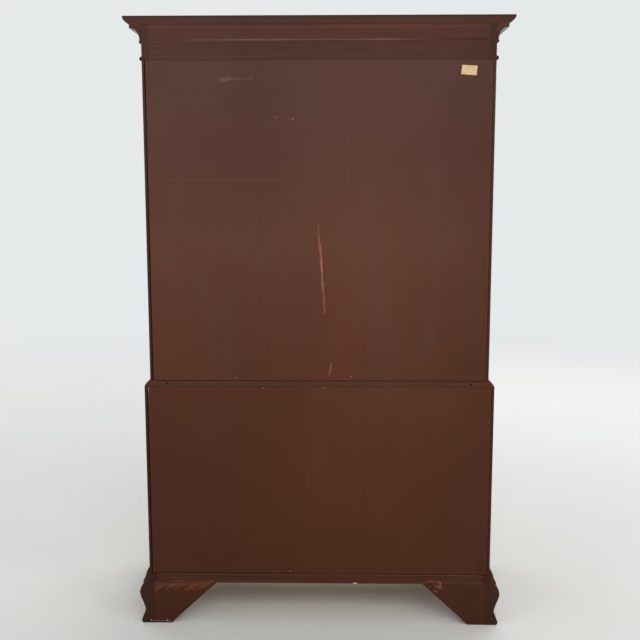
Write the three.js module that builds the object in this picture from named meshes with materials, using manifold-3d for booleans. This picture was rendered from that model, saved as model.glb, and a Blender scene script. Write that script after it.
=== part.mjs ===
// A chest-on-chest highboy in mahogany, on ogee bracket feet, as an assembly of its real pieces.
// Millimetres. +Z is up, the drawers open towards -Y and the back is at +Y.
// The origin is on the floor, in the middle of the width and of the overall depth.
import * as THREE from "three";
import { mergeVertices } from "three/addons/utils/BufferGeometryUtils.js";
import Module from "manifold-3d";

const wasm = await Module();
wasm.setup();

// Case sizes
const UPPER_WIDTH = 985; // over the upper case's sides
const UPPER_DEPTH = 447; // from the upper case's front edges to the back
const UPPER_SIDE_HEIGHT = 1006.7;
const LOWER_SIDE_HEIGHT = 604.4;
const STEP_IN = 17.5; // how far the upper case stands in from the lower one, at the front and sides
const BOARD = 19; // thickness of the sides, boards and frames
const FIT = 0.3; // glue line or running gap between two pieces that meet
const CUT_OVERRUN = 2; // how far a cut runs past the surface that it opens
const WELD = 1e-4; // corners nearer than this are one corner
const DADO = 6; // how deep a board's end is let into a side

// Back panels and rails
const BACK_THICKNESS = 6;
const BACK_RECESS = 1; // the back panels lie this far inside the sides' rear edges
const BACK_RABBET = 7; // width of the lip that the sides' rebates for the panels leave
const PANEL_PLAY = [0.7, 2.7]; // gaps at the panels' two upright edges, which aren't set quite evenly
const PANEL_LIFT = 2.2; // gap under each panel
const REAR_RAIL_HEIGHT = 98.7; // rear frieze rail, with the cleat band at its top
const REAR_CLEAT_HEIGHT = 41.7;
const REAR_RAIL_STEP = 2; // the rail below the cleat band is set in by this
const BASE_RAIL_HEIGHT = 28.5;
const SCREW_HOLE_RADIUS = 2.6;
const BACK_HOLE_DEPTH = 12; // of the screw and nail holes
const WAIST_SCREW_SPREAD = 442; // from the middle to each screw hole
const BASE_NAIL_INSET = 5; // from the base rail's end to its nail hole
const NAIL_HOLE_RADIUS = 1.8;

// Cap, cornice and frieze
const CAP_THICKNESS = 22.2;
const CAP_OVERHANG = 51; // beyond the upper case, at the front and sides
const CAP_FILLET = 4.5; // the flat at the top of the cap's edge
const CAP_ROUND = 16; // how far the cap's rounded edge comes in
const CAP_SWELL_SHARES = [0.88, 0.52]; // its guide point, of its width and of its height
const CORNICE_HEIGHT = 53.5;
const CORNICE_REACH = 32.3;
const CORNICE_FILLET = 11; // height of the flat above the cove
const CORNICE_QUIRK = 2.3; // width of the step where the cove starts
const COVE_FOOT = 4.5; // how far out the cove ends
const COVE_DROP = 31; // height of the cove
const BEAD_RADIUS = 5.6;
const FRIEZE_HEIGHT = 105.5; // front frieze rail
const ASTRAGAL_RADIUS = 6;
const ASTRAGAL_LIFT = 12; // its middle above the frieze rail's lower edge
const BEAD_EMBED = 2; // how far a worked bead runs into its board

// Waist
const WAIST_THICKNESS = 19;
const WAIST_SEAT = 3.5; // depth of the rebate that the upper case stands in
const WAIST_LIP = 1.2; // flat at the top of the moulded edge
const WAIST_SWELL_SHARES = [0.6, 0.66]; // the curve's guide point, of its width and of its height

// Base moulding and feet
const BASE_MOULDING_HEIGHT = 47;
const BASE_MOULDING_REACH = 20;
const BASE_MOULDING_LIP = 1.8; // flat at its top
const BASE_MOULDING_FILLET = 6; // flat at its foot
const FOOT_HEIGHT = 128;
const FOOT_SWELL = 31; // how far the ogee swells beyond the lower case
const FOOT_INSET = 11; // how far the brackets reach inside the lower case's faces
const BRACKET_LENGTH = 182; // along the case, from its corner
const REAR_BOARD_TOP = 200; // the rear board's length at the top, from the case's corner
const REAR_BOARD_PAD = 62; // and at the floor
const FOOT_BLOCK = 45;
const FOOT_BLOCK_LIFT = 6; // the glue block stays this far off the floor
// The ogee from top to floor: [share of the swell, share of the height].
const OGEE_SHARES = [
  [0.56, 1],
  [0.84, 0.91],
  [1, 0.78],
  [0.9, 0.65],
  [0.68, 0.51],
  [0.5, 0.355],
  [0.58, 0.26],
  [0.8, 0.14],
  [0.88, 0.07],
  [0.84, 0.025],
  [0.72, 0],
];
// The bracket's scrolled edge from the floor up: [share of the length, share of the height].
const SCROLL_SHARES = [
  [0.32, 0],
  [0.35, 0.12],
  [0.42, 0.3],
  [0.52, 0.44],
  [0.62, 0.48],
  [0.64, 0.6],
  [0.73, 0.74],
  [0.86, 0.83],
  [1, 0.9],
  [1, 1],
];

// Dust frames
const FRAME_RAIL = 60; // width of the frames' rails
const DUST_PANEL = 6;

// Drawers
const UPPER_ROW_SHARES = [0.18, 0.243, 0.273, 0.304]; // of the upper opening, from the top row down
const LOWER_ROW_SHARES = [0.487, 0.513];
const FRONT_THICKNESS = 20;
const FRONT_REVEAL = 1.4; // gap round a drawer front
const COCK_BEAD = 4; // width of the bead round a front
const COCK_BEAD_PROUD = 2.5;
const DRAWER_SIDE = 12;
const DRAWER_SIDE_DROP = 8; // the sides stop this far below the front's top
const DRAWER_BOTTOM = 6;
const DRAWER_BOTTOM_LIFT = 10;
const DRAWER_BACK_ROOM = 22; // between a drawer's back and the back panel
const TAIL_LENGTH = 13;
const TAIL_PITCH = 44;
const TAIL_SHARE = 0.3; // half of a tail's root, of the space that one tail has
const TAIL_FLARE = 2; // how much wider a tail is at its tip, on each side

// Pulls and knobs
const PULL_SPREAD_SHARE = 0.29; // of the opening's width, from the middle to each pull
const PLATE_WIDTH = 110;
const PLATE_HEIGHT = 64;
const PLATE_THICKNESS = 1.8;
const POST_SPREAD = 38; // from the pull's middle to each post
const POST_RISE = 5; // the posts above the plate's middle
const POST_REACH = 15; // from the plate's face to the bail's axis
const POST_HEAD = 5.6;
const POST_STEM = 3.2;
const POST_COLLAR = 1.5; // thickness of the post's collar
const BAIL_PIN = 1.9;
const BAIL_PIN_LENGTH = 4.5; // how far a pin runs inside its post, from the post's face
const BAIL_PLAY = 0.5; // between the pin and its hole
const BAIL_EAR = 1.2; // how far the pin runs on outside its post before the bar bends
const BAIL_WING = 7; // how far the bail's shoulders stand out from the posts' heads
const BAIL_DROP = 36;
const BAIL_SWELL = 3.2; // the bar's radius at its middle
const KNOB_RADIUS = 14;
const KNOB_NECK = 4.5;
const KNOB_ROSE = 10;
const KNOB_ROSE_THICKNESS = 2.5;
const KNOB_LENGTH = 24;
const ROUND_SIDES = 8;
const KNOB_SIDES = 14;
const HOLE_SIDES = 6;
const BAR_SIDES = 6;
// Half of the plate's outline from its top to its foot: [share of half its width, share of half its height].
const PLATE_SHARES = [
  [0, 1],
  [0.1, 0.84],
  [0.22, 0.97],
  [0.36, 0.9],
  [0.44, 0.64],
  [0.58, 0.8],
  [0.74, 0.74],
  [0.8, 0.5],
  [0.94, 0.42],
  [1, 0.16],
  [0.9, -0.04],
  [0.97, -0.26],
  [0.84, -0.48],
  [0.66, -0.42],
  [0.54, -0.64],
  [0.38, -0.58],
  [0.26, -0.82],
  [0.12, -0.76],
  [0, -1],
];
// The bail from its shoulder to its middle: [share of the half width, share of the drop].
const BAIL_SHARES = [
  [1, 0.1],
  [1, 0.36],
  [0.86, 0.62],
  [0.6, 0.84],
  [0.3, 0.97],
  [0, 1],
];

// Levels and places worked out from the sizes above
const HALF_UPPER = UPPER_WIDTH / 2;
const HALF_LOWER = HALF_UPPER + STEP_IN;
const BACK_Y = (UPPER_DEPTH + CAP_OVERHANG) / 2;
const UPPER_FRONT = BACK_Y - UPPER_DEPTH;
const LOWER_FRONT = UPPER_FRONT - STEP_IN;
const PANEL_FACE = BACK_Y - BACK_RECESS;
const PANEL_INNER = PANEL_FACE - BACK_THICKNESS;
const LOWER_BASE = FOOT_HEIGHT + FIT;
const LOWER_TOP = LOWER_BASE + LOWER_SIDE_HEIGHT;
const WAIST_BASE = LOWER_TOP + FIT;
const WAIST_TOP = WAIST_BASE + WAIST_THICKNESS;
const UPPER_BASE = WAIST_TOP - WAIST_SEAT + FIT;
const UPPER_TOP = UPPER_BASE + UPPER_SIDE_HEIGHT;
const CAP_BASE = UPPER_TOP + FIT;
const CAP_TOP = CAP_BASE + CAP_THICKNESS;
const FRIEZE_BASE = UPPER_TOP - FRIEZE_HEIGHT;
const REAR_RAIL_BASE = UPPER_TOP - REAR_RAIL_HEIGHT;
const LOWER_BOTTOM_BASE = LOWER_BASE + BASE_RAIL_HEIGHT + FIT;

const mahogany = new THREE.MeshStandardMaterial({ color: 0x6b2f1c, roughness: 0.35, metalness: 0 });
const stainedBack = new THREE.MeshStandardMaterial({ color: 0x5a352c, roughness: 0.6, metalness: 0 });
const drawerWood = new THREE.MeshStandardMaterial({ color: 0xb98f5e, roughness: 0.6, metalness: 0 });
const dustWood = new THREE.MeshStandardMaterial({ color: 0x9c7448, roughness: 0.7, metalness: 0 });
const brass = new THREE.MeshStandardMaterial({ color: 0xb08a45, roughness: 0.32, metalness: 1 });

// Turns a closed geometry into a solid that can be cut and joined.
function solidOf(geometry) {
  const bare = geometry.index ? geometry.toNonIndexed() : geometry.clone();
  bare.deleteAttribute("normal");
  bare.deleteAttribute("uv");
  const merged = mergeVertices(bare, WELD);
  return new wasm.Manifold(
    new wasm.Mesh({
      numProp: 3,
      vertProperties: merged.attributes.position.array,
      triVerts: new Uint32Array(merged.index.array),
    }),
  );
}

// Turns a solid back into a geometry.
function geometryOf(solid) {
  const mesh = solid.getMesh();
  const geometry = new THREE.BufferGeometry();
  geometry.setAttribute("position", new THREE.BufferAttribute(mesh.vertProperties, mesh.numProp));
  geometry.setIndex(new THREE.BufferAttribute(mesh.triVerts, 1));
  const flat = geometry.toNonIndexed();
  flat.computeVertexNormals();
  return flat;
}

// A box between two corners.
function block(low, high) {
  const size = high.map((value, i) => value - low[i]);
  const middle = high.map((value, i) => (value + low[i]) / 2);
  return solidOf(new THREE.BoxGeometry(...size).translate(...middle));
}

// How an extrusion is turned: its outline's two axes become Y and Z, or X and Z.
const ALONG_X = new THREE.Matrix4().set(0, 0, 1, 0, 1, 0, 0, 0, 0, 1, 0, 0, 0, 0, 0, 1);
const ALONG_Y = new THREE.Matrix4().set(1, 0, 0, 0, 0, 0, -1, 0, 0, 1, 0, 0, 0, 0, 0, 1);

// An outline in the YZ or XZ plane, extruded along X or Y.
function prism(outline, axis, from, to) {
  const shape = new THREE.Shape(outline.map(([a, b]) => new THREE.Vector2(a, b)));
  const geometry = new THREE.ExtrudeGeometry(shape, { depth: to - from, bevelEnabled: false });
  if (axis === "x") geometry.translate(0, 0, from).applyMatrix4(ALONG_X);
  if (axis === "y") geometry.translate(0, 0, -to).applyMatrix4(ALONG_Y);
  return solidOf(geometry);
}

const ordered = (...values) => values.sort((a, b) => a - b);
const join = (first, ...others) => others.reduce((whole, other) => whole.add(other), first);
const cut = (first, ...tools) => tools.reduce((whole, tool) => whole.subtract(tool), first);

// A closed surface through a row of rings with the same number of points, closed at both ends.
function skin(rings) {
  const count = rings[0].length;
  const points = rings.flat();
  const index = [];
  for (let r = 0; r + 1 < rings.length; r++)
    for (let i = 0; i < count; i++) {
      const next = (i + 1) % count;
      const [a, b] = [r * count + i, r * count + next];
      const [c, d] = [a + count, b + count];
      index.push(a, b, c, b, d, c);
    }
  const flat = planeOf(rings[0]);
  for (const [a, b, c] of THREE.ShapeUtils.triangulateShape(flat, [])) {
    index.push(c, b, a);
    const end = (rings.length - 1) * count;
    index.push(end + a, end + b, end + c);
  }
  const geometry = new THREE.BufferGeometry();
  geometry.setAttribute("position", new THREE.Float32BufferAttribute(points.flat(), 3));
  geometry.setIndex(index);
  return solidOf(geometry);
}

// A ring's points seen in its own plane, turning the same way as they do round its own axis.
function planeOf(ring) {
  const points = ring.map((p) => new THREE.Vector3(...p));
  const normal = new THREE.Vector3();
  points.forEach((p, i) => normal.add(p.clone().cross(points[(i + 1) % points.length])));
  normal.normalize();
  const across = new THREE.Vector3().subVectors(points[1], points[0]).normalize();
  const up = new THREE.Vector3().crossVectors(normal, across);
  return points.map((p) => new THREE.Vector2(p.dot(across), p.dot(up)));
}

// A moulding run past the given corners. A station is a corner in plan and the way its mitre grows.
function moulding(profile, stations) {
  return skin(stations.map(([x, y, dx, dy]) => profile.map(([out, z]) => [x + dx * out, y + dy * out, z])));
}

// The stations of a moulding that wraps a case's two sides and front, square at the back.
function wrap(halfWidth, front) {
  return [
    [halfWidth, BACK_Y, 1, 0],
    [halfWidth, front, 1, -1],
    [-halfWidth, front, -1, -1],
    [-halfWidth, BACK_Y, -1, 0],
  ];
}

// Points on a quarter of an ellipse, from one angle to another, in degrees.
function arc(centre, radii, fromAngle, toAngle, steps) {
  return Array.from({ length: steps + 1 }, (_, i) => {
    const angle = THREE.MathUtils.degToRad(fromAngle + ((toAngle - fromAngle) * i) / steps);
    return [centre[0] + radii[0] * Math.cos(angle), centre[1] + radii[1] * Math.sin(angle)];
  });
}

// A smooth line through points, as that many points.
function smooth(points, steps) {
  const curve = new THREE.SplineCurve(points.map(([a, b]) => new THREE.Vector2(a, b)));
  return curve.getPoints(steps).map((p) => [p.x, p.y]);
}

// A round hole or pin along one axis.
function rod(axis, centre, radius, length, sides) {
  const geometry = new THREE.CylinderGeometry(radius, radius, length, sides);
  if (axis === "x") geometry.rotateZ(Math.PI / 2);
  return solidOf(geometry.translate(...centre));
}

// Two holes bored in from the back, as far to the left of the middle as to the right.
function backHoles(spread, level, radius) {
  return [-1, 1].map((hand) =>
    rod("y", [hand * spread, BACK_Y, level], radius, 2 * BACK_HOLE_DEPTH, HOLE_SIDES),
  );
}

// A turned shape whose axis points out of the front, from [radius, height] points.
function turned(profile, sides, x, y, z) {
  const lathe = new THREE.LatheGeometry(
    profile.map(([radius, height]) => new THREE.Vector2(radius, height)),
    sides,
  );
  return solidOf(lathe.rotateX(Math.PI).translate(x, y, z));
}

const highboy = new THREE.Group();

// Adds a solid to the highboy under its own name.
function place(name, solid, material) {
  const mesh = new THREE.Mesh(geometryOf(solid), material);
  mesh.name = name;
  highboy.add(mesh);
}

// The level of each row's opening in a case, from the top row down.
function rows(shares, top, bottom) {
  const free = top - bottom - BOARD * (shares.length - 1);
  let level = top;
  return shares.map((share) => {
    const row = { top: level, bottom: level - share * free };
    level = row.bottom - BOARD;
    return row;
  });
}

const upperRows = rows(UPPER_ROW_SHARES, FRIEZE_BASE, UPPER_BASE + BOARD);
const lowerRows = rows(LOWER_ROW_SHARES, WAIST_BASE, LOWER_BOTTOM_BASE + BOARD);

// Case sides
// The dado that holds a board's end, in the side on the given hand.
function dado(hand, half, front, base) {
  const inner = half - BOARD;
  const xs = ordered(hand * (inner - CUT_OVERRUN), hand * (inner + DADO));
  return block([xs[0], front - CUT_OVERRUN, base - FIT], [xs[1], BACK_Y + CUT_OVERRUN, base + BOARD + FIT]);
}

// The rebate for a back panel, between two levels.
function rebate(hand, half, from, to) {
  const xs = ordered(hand * (half - BOARD - CUT_OVERRUN), hand * (half - BACK_RABBET));
  return block([xs[0], PANEL_INNER - FIT, from], [xs[1], BACK_Y + CUT_OVERRUN, to]);
}

const astragalProfile = [
  [-BEAD_EMBED, FRIEZE_BASE + ASTRAGAL_LIFT + ASTRAGAL_RADIUS],
  [-BEAD_EMBED, FRIEZE_BASE + ASTRAGAL_LIFT - ASTRAGAL_RADIUS],
  ...arc([0, FRIEZE_BASE + ASTRAGAL_LIFT], [ASTRAGAL_RADIUS, ASTRAGAL_RADIUS], -90, 90, 8),
];

function upperSide(hand) {
  const xs = ordered(hand * HALF_UPPER, hand * (HALF_UPPER - BOARD));
  const board = block([xs[0], UPPER_FRONT, UPPER_BASE], [xs[1], BACK_Y, UPPER_TOP]);
  const ends = [
    [hand * HALF_UPPER, BACK_Y, hand, 0],
    [hand * HALF_UPPER, UPPER_FRONT + FIT, hand, -1],
  ];
  const bead = moulding(astragalProfile, hand > 0 ? ends : ends.reverse());
  const reach = ordered(hand * (HALF_UPPER + FIT), hand * (HALF_UPPER - BOARD - CUT_OVERRUN));
  const friezeNotch = block(
    [reach[0], UPPER_FRONT - CUT_OVERRUN, FRIEZE_BASE - FIT],
    [reach[1], UPPER_FRONT + BOARD + FIT, UPPER_TOP + CUT_OVERRUN],
  );
  return cut(
    join(board, bead),
    friezeNotch,
    rebate(hand, HALF_UPPER, UPPER_BASE - CUT_OVERRUN, REAR_RAIL_BASE),
    ...[UPPER_BASE, ...upperRows.slice(0, -1).map((row) => row.bottom - BOARD)].map((base) =>
      dado(hand, HALF_UPPER, UPPER_FRONT, base),
    ),
  );
}

function lowerSide(hand) {
  const xs = ordered(hand * HALF_LOWER, hand * (HALF_LOWER - BOARD));
  return cut(
    block([xs[0], LOWER_FRONT, LOWER_BASE], [xs[1], BACK_Y, LOWER_TOP]),
    rebate(hand, HALF_LOWER, LOWER_BASE + BASE_RAIL_HEIGHT, LOWER_TOP + CUT_OVERRUN),
    dado(hand, HALF_LOWER, LOWER_FRONT, LOWER_BOTTOM_BASE),
    dado(hand, HALF_LOWER, LOWER_FRONT, lowerRows[0].bottom - BOARD),
  );
}

place("upper_side_left", upperSide(-1), mahogany);
place("upper_side_right", upperSide(1), mahogany);
place("lower_side_left", lowerSide(-1), mahogany);
place("lower_side_right", lowerSide(1), mahogany);

// Bottom boards and dust frames
// A board let into both sides of a case.
function acrossBoard(half, front, base) {
  const reach = half - BOARD + DADO - FIT;
  return block([-reach, front, base], [reach, PANEL_INNER - FIT, base + BOARD]);
}

// A frame whose fields are thinner than its rails, with one or two fields.
function dustFrame(half, front, base, fields) {
  const inner = half - BOARD - FRAME_RAIL;
  const fieldWidth = (2 * inner - FRAME_RAIL * (fields - 1)) / fields;
  const relief = (BOARD - DUST_PANEL) / 2;
  const tools = [];
  for (let i = 0; i < fields; i++) {
    const x = -inner + i * (fieldWidth + FRAME_RAIL);
    const [low, high] = [front + FRAME_RAIL, PANEL_INNER - FIT - FRAME_RAIL];
    tools.push(block([x, low, base - CUT_OVERRUN], [x + fieldWidth, high, base + relief]));
    tools.push(block([x, low, base + BOARD - relief], [x + fieldWidth, high, base + BOARD + CUT_OVERRUN]));
  }
  return cut(acrossBoard(half, front, base), ...tools);
}

place("upper_bottom_board", acrossBoard(HALF_UPPER, UPPER_FRONT, UPPER_BASE), dustWood);
place("lower_bottom_board", acrossBoard(HALF_LOWER, LOWER_FRONT, LOWER_BOTTOM_BASE), dustWood);
upperRows.slice(0, -1).forEach((row, i) => {
  const frame = dustFrame(HALF_UPPER, UPPER_FRONT, row.bottom - BOARD, i === 0 ? 2 : 1);
  place(`upper_dust_frame_${i + 1}`, frame, dustWood);
});
place("lower_dust_frame", dustFrame(HALF_LOWER, LOWER_FRONT, lowerRows[0].bottom - BOARD, 1), dustWood);
place(
  "small_drawer_divider",
  block(
    [-BOARD / 2, UPPER_FRONT, upperRows[0].bottom + FIT],
    [BOARD / 2, PANEL_INNER - FIT, upperRows[0].top - FIT],
  ),
  mahogany,
);

// Back panels and rails
function backPanel(half, from, to) {
  const reach = half - BACK_RABBET;
  const [first, second] = PANEL_PLAY;
  return block([first - reach, PANEL_INNER, from + PANEL_LIFT], [reach - second, PANEL_FACE, to]);
}

function rearFriezeRail() {
  const cleatBase = UPPER_TOP - REAR_CLEAT_HEIGHT;
  const reach = HALF_UPPER - BOARD - FIT;
  const outline = [
    [BACK_Y - BOARD, REAR_RAIL_BASE],
    [BACK_Y - REAR_RAIL_STEP, REAR_RAIL_BASE],
    [BACK_Y - REAR_RAIL_STEP, cleatBase],
    [BACK_Y, cleatBase],
    [BACK_Y, UPPER_TOP],
    [BACK_Y - BOARD, UPPER_TOP],
  ];
  return prism(outline, "x", -reach, reach);
}

function baseRail() {
  const reach = HALF_LOWER - BOARD - FIT;
  const level = LOWER_BASE + BASE_RAIL_HEIGHT / 2;
  return cut(
    block([-reach, BACK_Y - BOARD, LOWER_BASE], [reach, BACK_Y, LOWER_BASE + BASE_RAIL_HEIGHT]),
    ...backHoles(reach - BASE_NAIL_INSET, level, NAIL_HOLE_RADIUS),
  );
}

place("upper_back_panel", backPanel(HALF_UPPER, UPPER_BASE, REAR_RAIL_BASE - FIT), stainedBack);
place("lower_back_panel", backPanel(HALF_LOWER, LOWER_BASE + BASE_RAIL_HEIGHT, LOWER_TOP), stainedBack);
place("frieze_rail_back", rearFriezeRail(), stainedBack);
place("base_rail_back", baseRail(), stainedBack);

// Frieze, cornice and cap
function frontFriezeRail() {
  const board = block([-HALF_UPPER, UPPER_FRONT, FRIEZE_BASE], [HALF_UPPER, UPPER_FRONT + BOARD, UPPER_TOP]);
  const bead = moulding(astragalProfile, [
    [HALF_UPPER, UPPER_FRONT, 1, -1],
    [-HALF_UPPER, UPPER_FRONT, -1, -1],
  ]);
  return join(board, bead);
}

function cornice() {
  const base = UPPER_TOP - CORNICE_HEIGHT;
  const coveTop = UPPER_TOP - CORNICE_FILLET;
  const coveFoot = coveTop - COVE_DROP;
  const coveReach = CORNICE_REACH - CORNICE_QUIRK;
  const profile = [
    [FIT, UPPER_TOP],
    [FIT, base],
    ...arc([FIT, base + BEAD_RADIUS], [BEAD_RADIUS, BEAD_RADIUS], -60, 60, 6),
    ...arc([coveReach, coveFoot], [COVE_FOOT - coveReach, COVE_DROP], 0, 90, 8),
    [CORNICE_REACH, coveTop],
    [CORNICE_REACH, UPPER_TOP],
  ];
  return moulding(profile, wrap(HALF_UPPER, UPPER_FRONT));
}

function capBoard() {
  const roundHeight = CAP_THICKNESS - CAP_FILLET;
  const curve = new THREE.QuadraticBezierCurve(
    new THREE.Vector2(CAP_OVERHANG - CAP_ROUND, CAP_BASE),
    new THREE.Vector2(
      CAP_OVERHANG - CAP_ROUND * (1 - CAP_SWELL_SHARES[0]),
      CAP_BASE + roundHeight * CAP_SWELL_SHARES[1],
    ),
    new THREE.Vector2(CAP_OVERHANG, CAP_TOP - CAP_FILLET),
  );
  const profile = [
    [-BEAD_EMBED, CAP_TOP],
    [-BEAD_EMBED, CAP_BASE],
    ...curve.getPoints(8).map((p) => [p.x, p.y]),
    [CAP_OVERHANG, CAP_TOP],
  ];
  return join(
    block([-HALF_UPPER, UPPER_FRONT, CAP_BASE], [HALF_UPPER, BACK_Y, CAP_TOP]),
    moulding(profile, wrap(HALF_UPPER, UPPER_FRONT)),
  );
}

place("frieze_rail_front", frontFriezeRail(), mahogany);
place("cornice_moulding", cornice(), mahogany);
place("cap_board", capBoard(), mahogany);

// Waist board, with its edge worked to a moulding and a seat for the upper case
function waistBoard() {
  const slope = STEP_IN - WAIST_LIP;
  const curve = new THREE.QuadraticBezierCurve(
    new THREE.Vector2(STEP_IN, WAIST_BASE),
    new THREE.Vector2(
      WAIST_LIP + slope * WAIST_SWELL_SHARES[0],
      WAIST_BASE + WAIST_THICKNESS * WAIST_SWELL_SHARES[1],
    ),
    new THREE.Vector2(WAIST_LIP, WAIST_TOP),
  );
  const profile = [
    [-BEAD_EMBED, WAIST_TOP],
    [-BEAD_EMBED, WAIST_BASE],
    ...curve.getPoints(8).map((p) => [p.x, p.y]),
  ];
  const holeLevel = (WAIST_BASE + WAIST_TOP - WAIST_SEAT) / 2;
  return cut(
    join(
      block([-HALF_UPPER, UPPER_FRONT, WAIST_BASE], [HALF_UPPER, BACK_Y, WAIST_TOP]),
      moulding(profile, wrap(HALF_UPPER, UPPER_FRONT)),
    ),
    block(
      [-HALF_UPPER - FIT, UPPER_FRONT - FIT, WAIST_TOP - WAIST_SEAT],
      [HALF_UPPER + FIT, BACK_Y + CUT_OVERRUN, WAIST_TOP + CUT_OVERRUN],
    ),
    ...backHoles(WAIST_SCREW_SPREAD, holeLevel, SCREW_HOLE_RADIUS),
  );
}

// The moulding round the base, with the front base rail that it is glued to
function baseMoulding() {
  const top = LOWER_BASE + BASE_MOULDING_HEIGHT;
  const fillet = LOWER_BASE + BASE_MOULDING_FILLET;
  const middle = [(BASE_MOULDING_LIP + BASE_MOULDING_REACH) / 2, (top + fillet) / 2];
  const [halfWidth, halfHeight] = [BASE_MOULDING_REACH - middle[0], top - middle[1]];
  // A cyma: hollow above its middle and round below it.
  const cyma = Array.from({ length: 11 }, (_, i) => {
    const t = i / 10 - 1 / 2;
    const out = middle[0] - 2 * halfWidth * t + (halfWidth * Math.sin(2 * Math.PI * t)) / 6;
    return [out, middle[1] + 2 * halfHeight * t];
  });
  const profile = [[FIT, top], [FIT, LOWER_BASE], [BASE_MOULDING_REACH, LOWER_BASE], ...cyma];
  const reach = HALF_LOWER - BOARD - FIT;
  const frontRail = block(
    [-reach, LOWER_FRONT - BEAD_EMBED, LOWER_BASE],
    [reach, LOWER_FRONT + BOARD, LOWER_BASE + BASE_RAIL_HEIGHT],
  );
  return join(moulding(profile, wrap(HALF_LOWER, LOWER_FRONT)), frontRail);
}

place("waist_board", waistBoard(), mahogany);
place("base_moulding", baseMoulding(), mahogany);

// Feet
const ogee = smooth(
  OGEE_SHARES.map(([out, up]) => [FOOT_SWELL * out, FOOT_HEIGHT * up]),
  16,
);

// Everything inside the ogee on one face, seen in section: out from the case's face, and up.
function ogeeSection(inward) {
  return [...ogee, [-inward, 0], [-inward, FOOT_HEIGHT]];
}

// A bracket's outline: along the case from its corner, and up.
function bracketOutline() {
  const beyond = -FOOT_SWELL - CUT_OVERRUN;
  const scroll = SCROLL_SHARES.map(([along, up]) => [BRACKET_LENGTH * along, FOOT_HEIGHT * up]);
  return [[beyond, 0], ...scroll, [beyond, FOOT_HEIGHT]];
}

// The rear board's outline: along the back from the case's corner, and up.
function rearBoardOutline() {
  return [
    [FOOT_INSET - CUT_OVERRUN, 0],
    [REAR_BOARD_PAD, 0],
    [REAR_BOARD_TOP, FOOT_HEIGHT],
    [FOOT_INSET - CUT_OVERRUN, FOOT_HEIGHT],
  ];
}

// The glue block in a foot's corner, which reaches up to the case's bottom board.
function footBlock(hand, towardsMiddle, cornerY, boardRoom) {
  const outerX = HALF_LOWER - FOOT_INSET;
  const innerX = outerX - FOOT_BLOCK;
  const nearY = cornerY + towardsMiddle * boardRoom;
  const farY = nearY + towardsMiddle * FOOT_BLOCK;
  const box = (x0, x1, y0, z0, z1) => {
    const [xs, ys] = [ordered(hand * x0, hand * x1), ordered(y0, farY)];
    return block([xs[0], ys[0], z0], [xs[1], ys[1], z1]);
  };
  const glueY = nearY - towardsMiddle * CUT_OVERRUN;
  const clearY = cornerY + towardsMiddle * (BOARD + FIT);
  return join(
    box(innerX, outerX + CUT_OVERRUN, glueY, FOOT_BLOCK_LIFT, FOOT_HEIGHT),
    box(innerX, HALF_LOWER - BOARD - FIT, clearY, FOOT_HEIGHT - CUT_OVERRUN, LOWER_BOTTOM_BASE - FIT),
  );
}

// A side bracket, its outline running along the side from a corner at y, towards the middle.
function sideBracket(hand, cornerY, towardsMiddle) {
  const outline = bracketOutline().map(([along, up]) => [cornerY + towardsMiddle * along, up]);
  const far = HALF_LOWER + FOOT_SWELL + CUT_OVERRUN;
  return prism(outline, "x", ...ordered(hand * (HALF_LOWER - FOOT_INSET), hand * far));
}

function frontFoot(hand) {
  const reach = BRACKET_LENGTH + CUT_OVERRUN;
  const beyond = FOOT_SWELL + CUT_OVERRUN;
  const sideFace = ogeeSection(reach).map(([out, up]) => [hand * (HALF_LOWER + out), up]);
  const frontFace = ogeeSection(reach).map(([out, up]) => [LOWER_FRONT - out, up]);
  const envelope = prism(sideFace, "y", LOWER_FRONT - beyond, LOWER_FRONT + reach).intersect(
    prism(frontFace, "x", -HALF_LOWER - beyond, HALF_LOWER + beyond),
  );
  const frontOutline = bracketOutline().map(([along, up]) => [hand * (HALF_LOWER - along), up]);
  const frontBracket = prism(frontOutline, "y", LOWER_FRONT - beyond, LOWER_FRONT + FOOT_INSET);
  return join(
    envelope.intersect(join(frontBracket, sideBracket(hand, LOWER_FRONT, 1))),
    footBlock(hand, 1, LOWER_FRONT, FOOT_INSET),
  );
}

function rearFoot(hand) {
  const sideFace = ogeeSection(FOOT_INSET + CUT_OVERRUN).map(([out, up]) => [hand * (HALF_LOWER + out), up]);
  const envelope = prism(sideFace, "y", BACK_Y - BRACKET_LENGTH - CUT_OVERRUN, BACK_Y);
  const rearOutline = rearBoardOutline().map(([along, up]) => [hand * (HALF_LOWER - along), up]);
  return join(
    envelope.intersect(sideBracket(hand, BACK_Y, -1)),
    prism(rearOutline, "y", BACK_Y - BOARD, BACK_Y),
    footBlock(hand, -1, BACK_Y, BOARD),
  );
}

place("foot_front_left", frontFoot(-1), mahogany);
place("foot_front_right", frontFoot(1), mahogany);
place("foot_rear_left", rearFoot(-1), mahogany);
place("foot_rear_right", rearFoot(1), mahogany);

// Drawers
// The dovetails at the front end of a drawer's side, as outlines in the plane of the side.
function tails(joint, low, high, grow) {
  const count = Math.max(2, Math.round((high - low) / TAIL_PITCH));
  const space = (high - low) / count;
  return Array.from({ length: count }, (_, i) => {
    const middle = low + space * (i + 1 / 2);
    const root = space * TAIL_SHARE + grow;
    const tip = root + TAIL_FLARE;
    return [
      [joint + CUT_OVERRUN, middle - root],
      [joint + CUT_OVERRUN, middle + root],
      [joint, middle + root],
      [joint - TAIL_LENGTH - grow, middle + tip],
      [joint - TAIL_LENGTH - grow, middle - tip],
      [joint, middle - root],
    ];
  });
}

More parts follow.
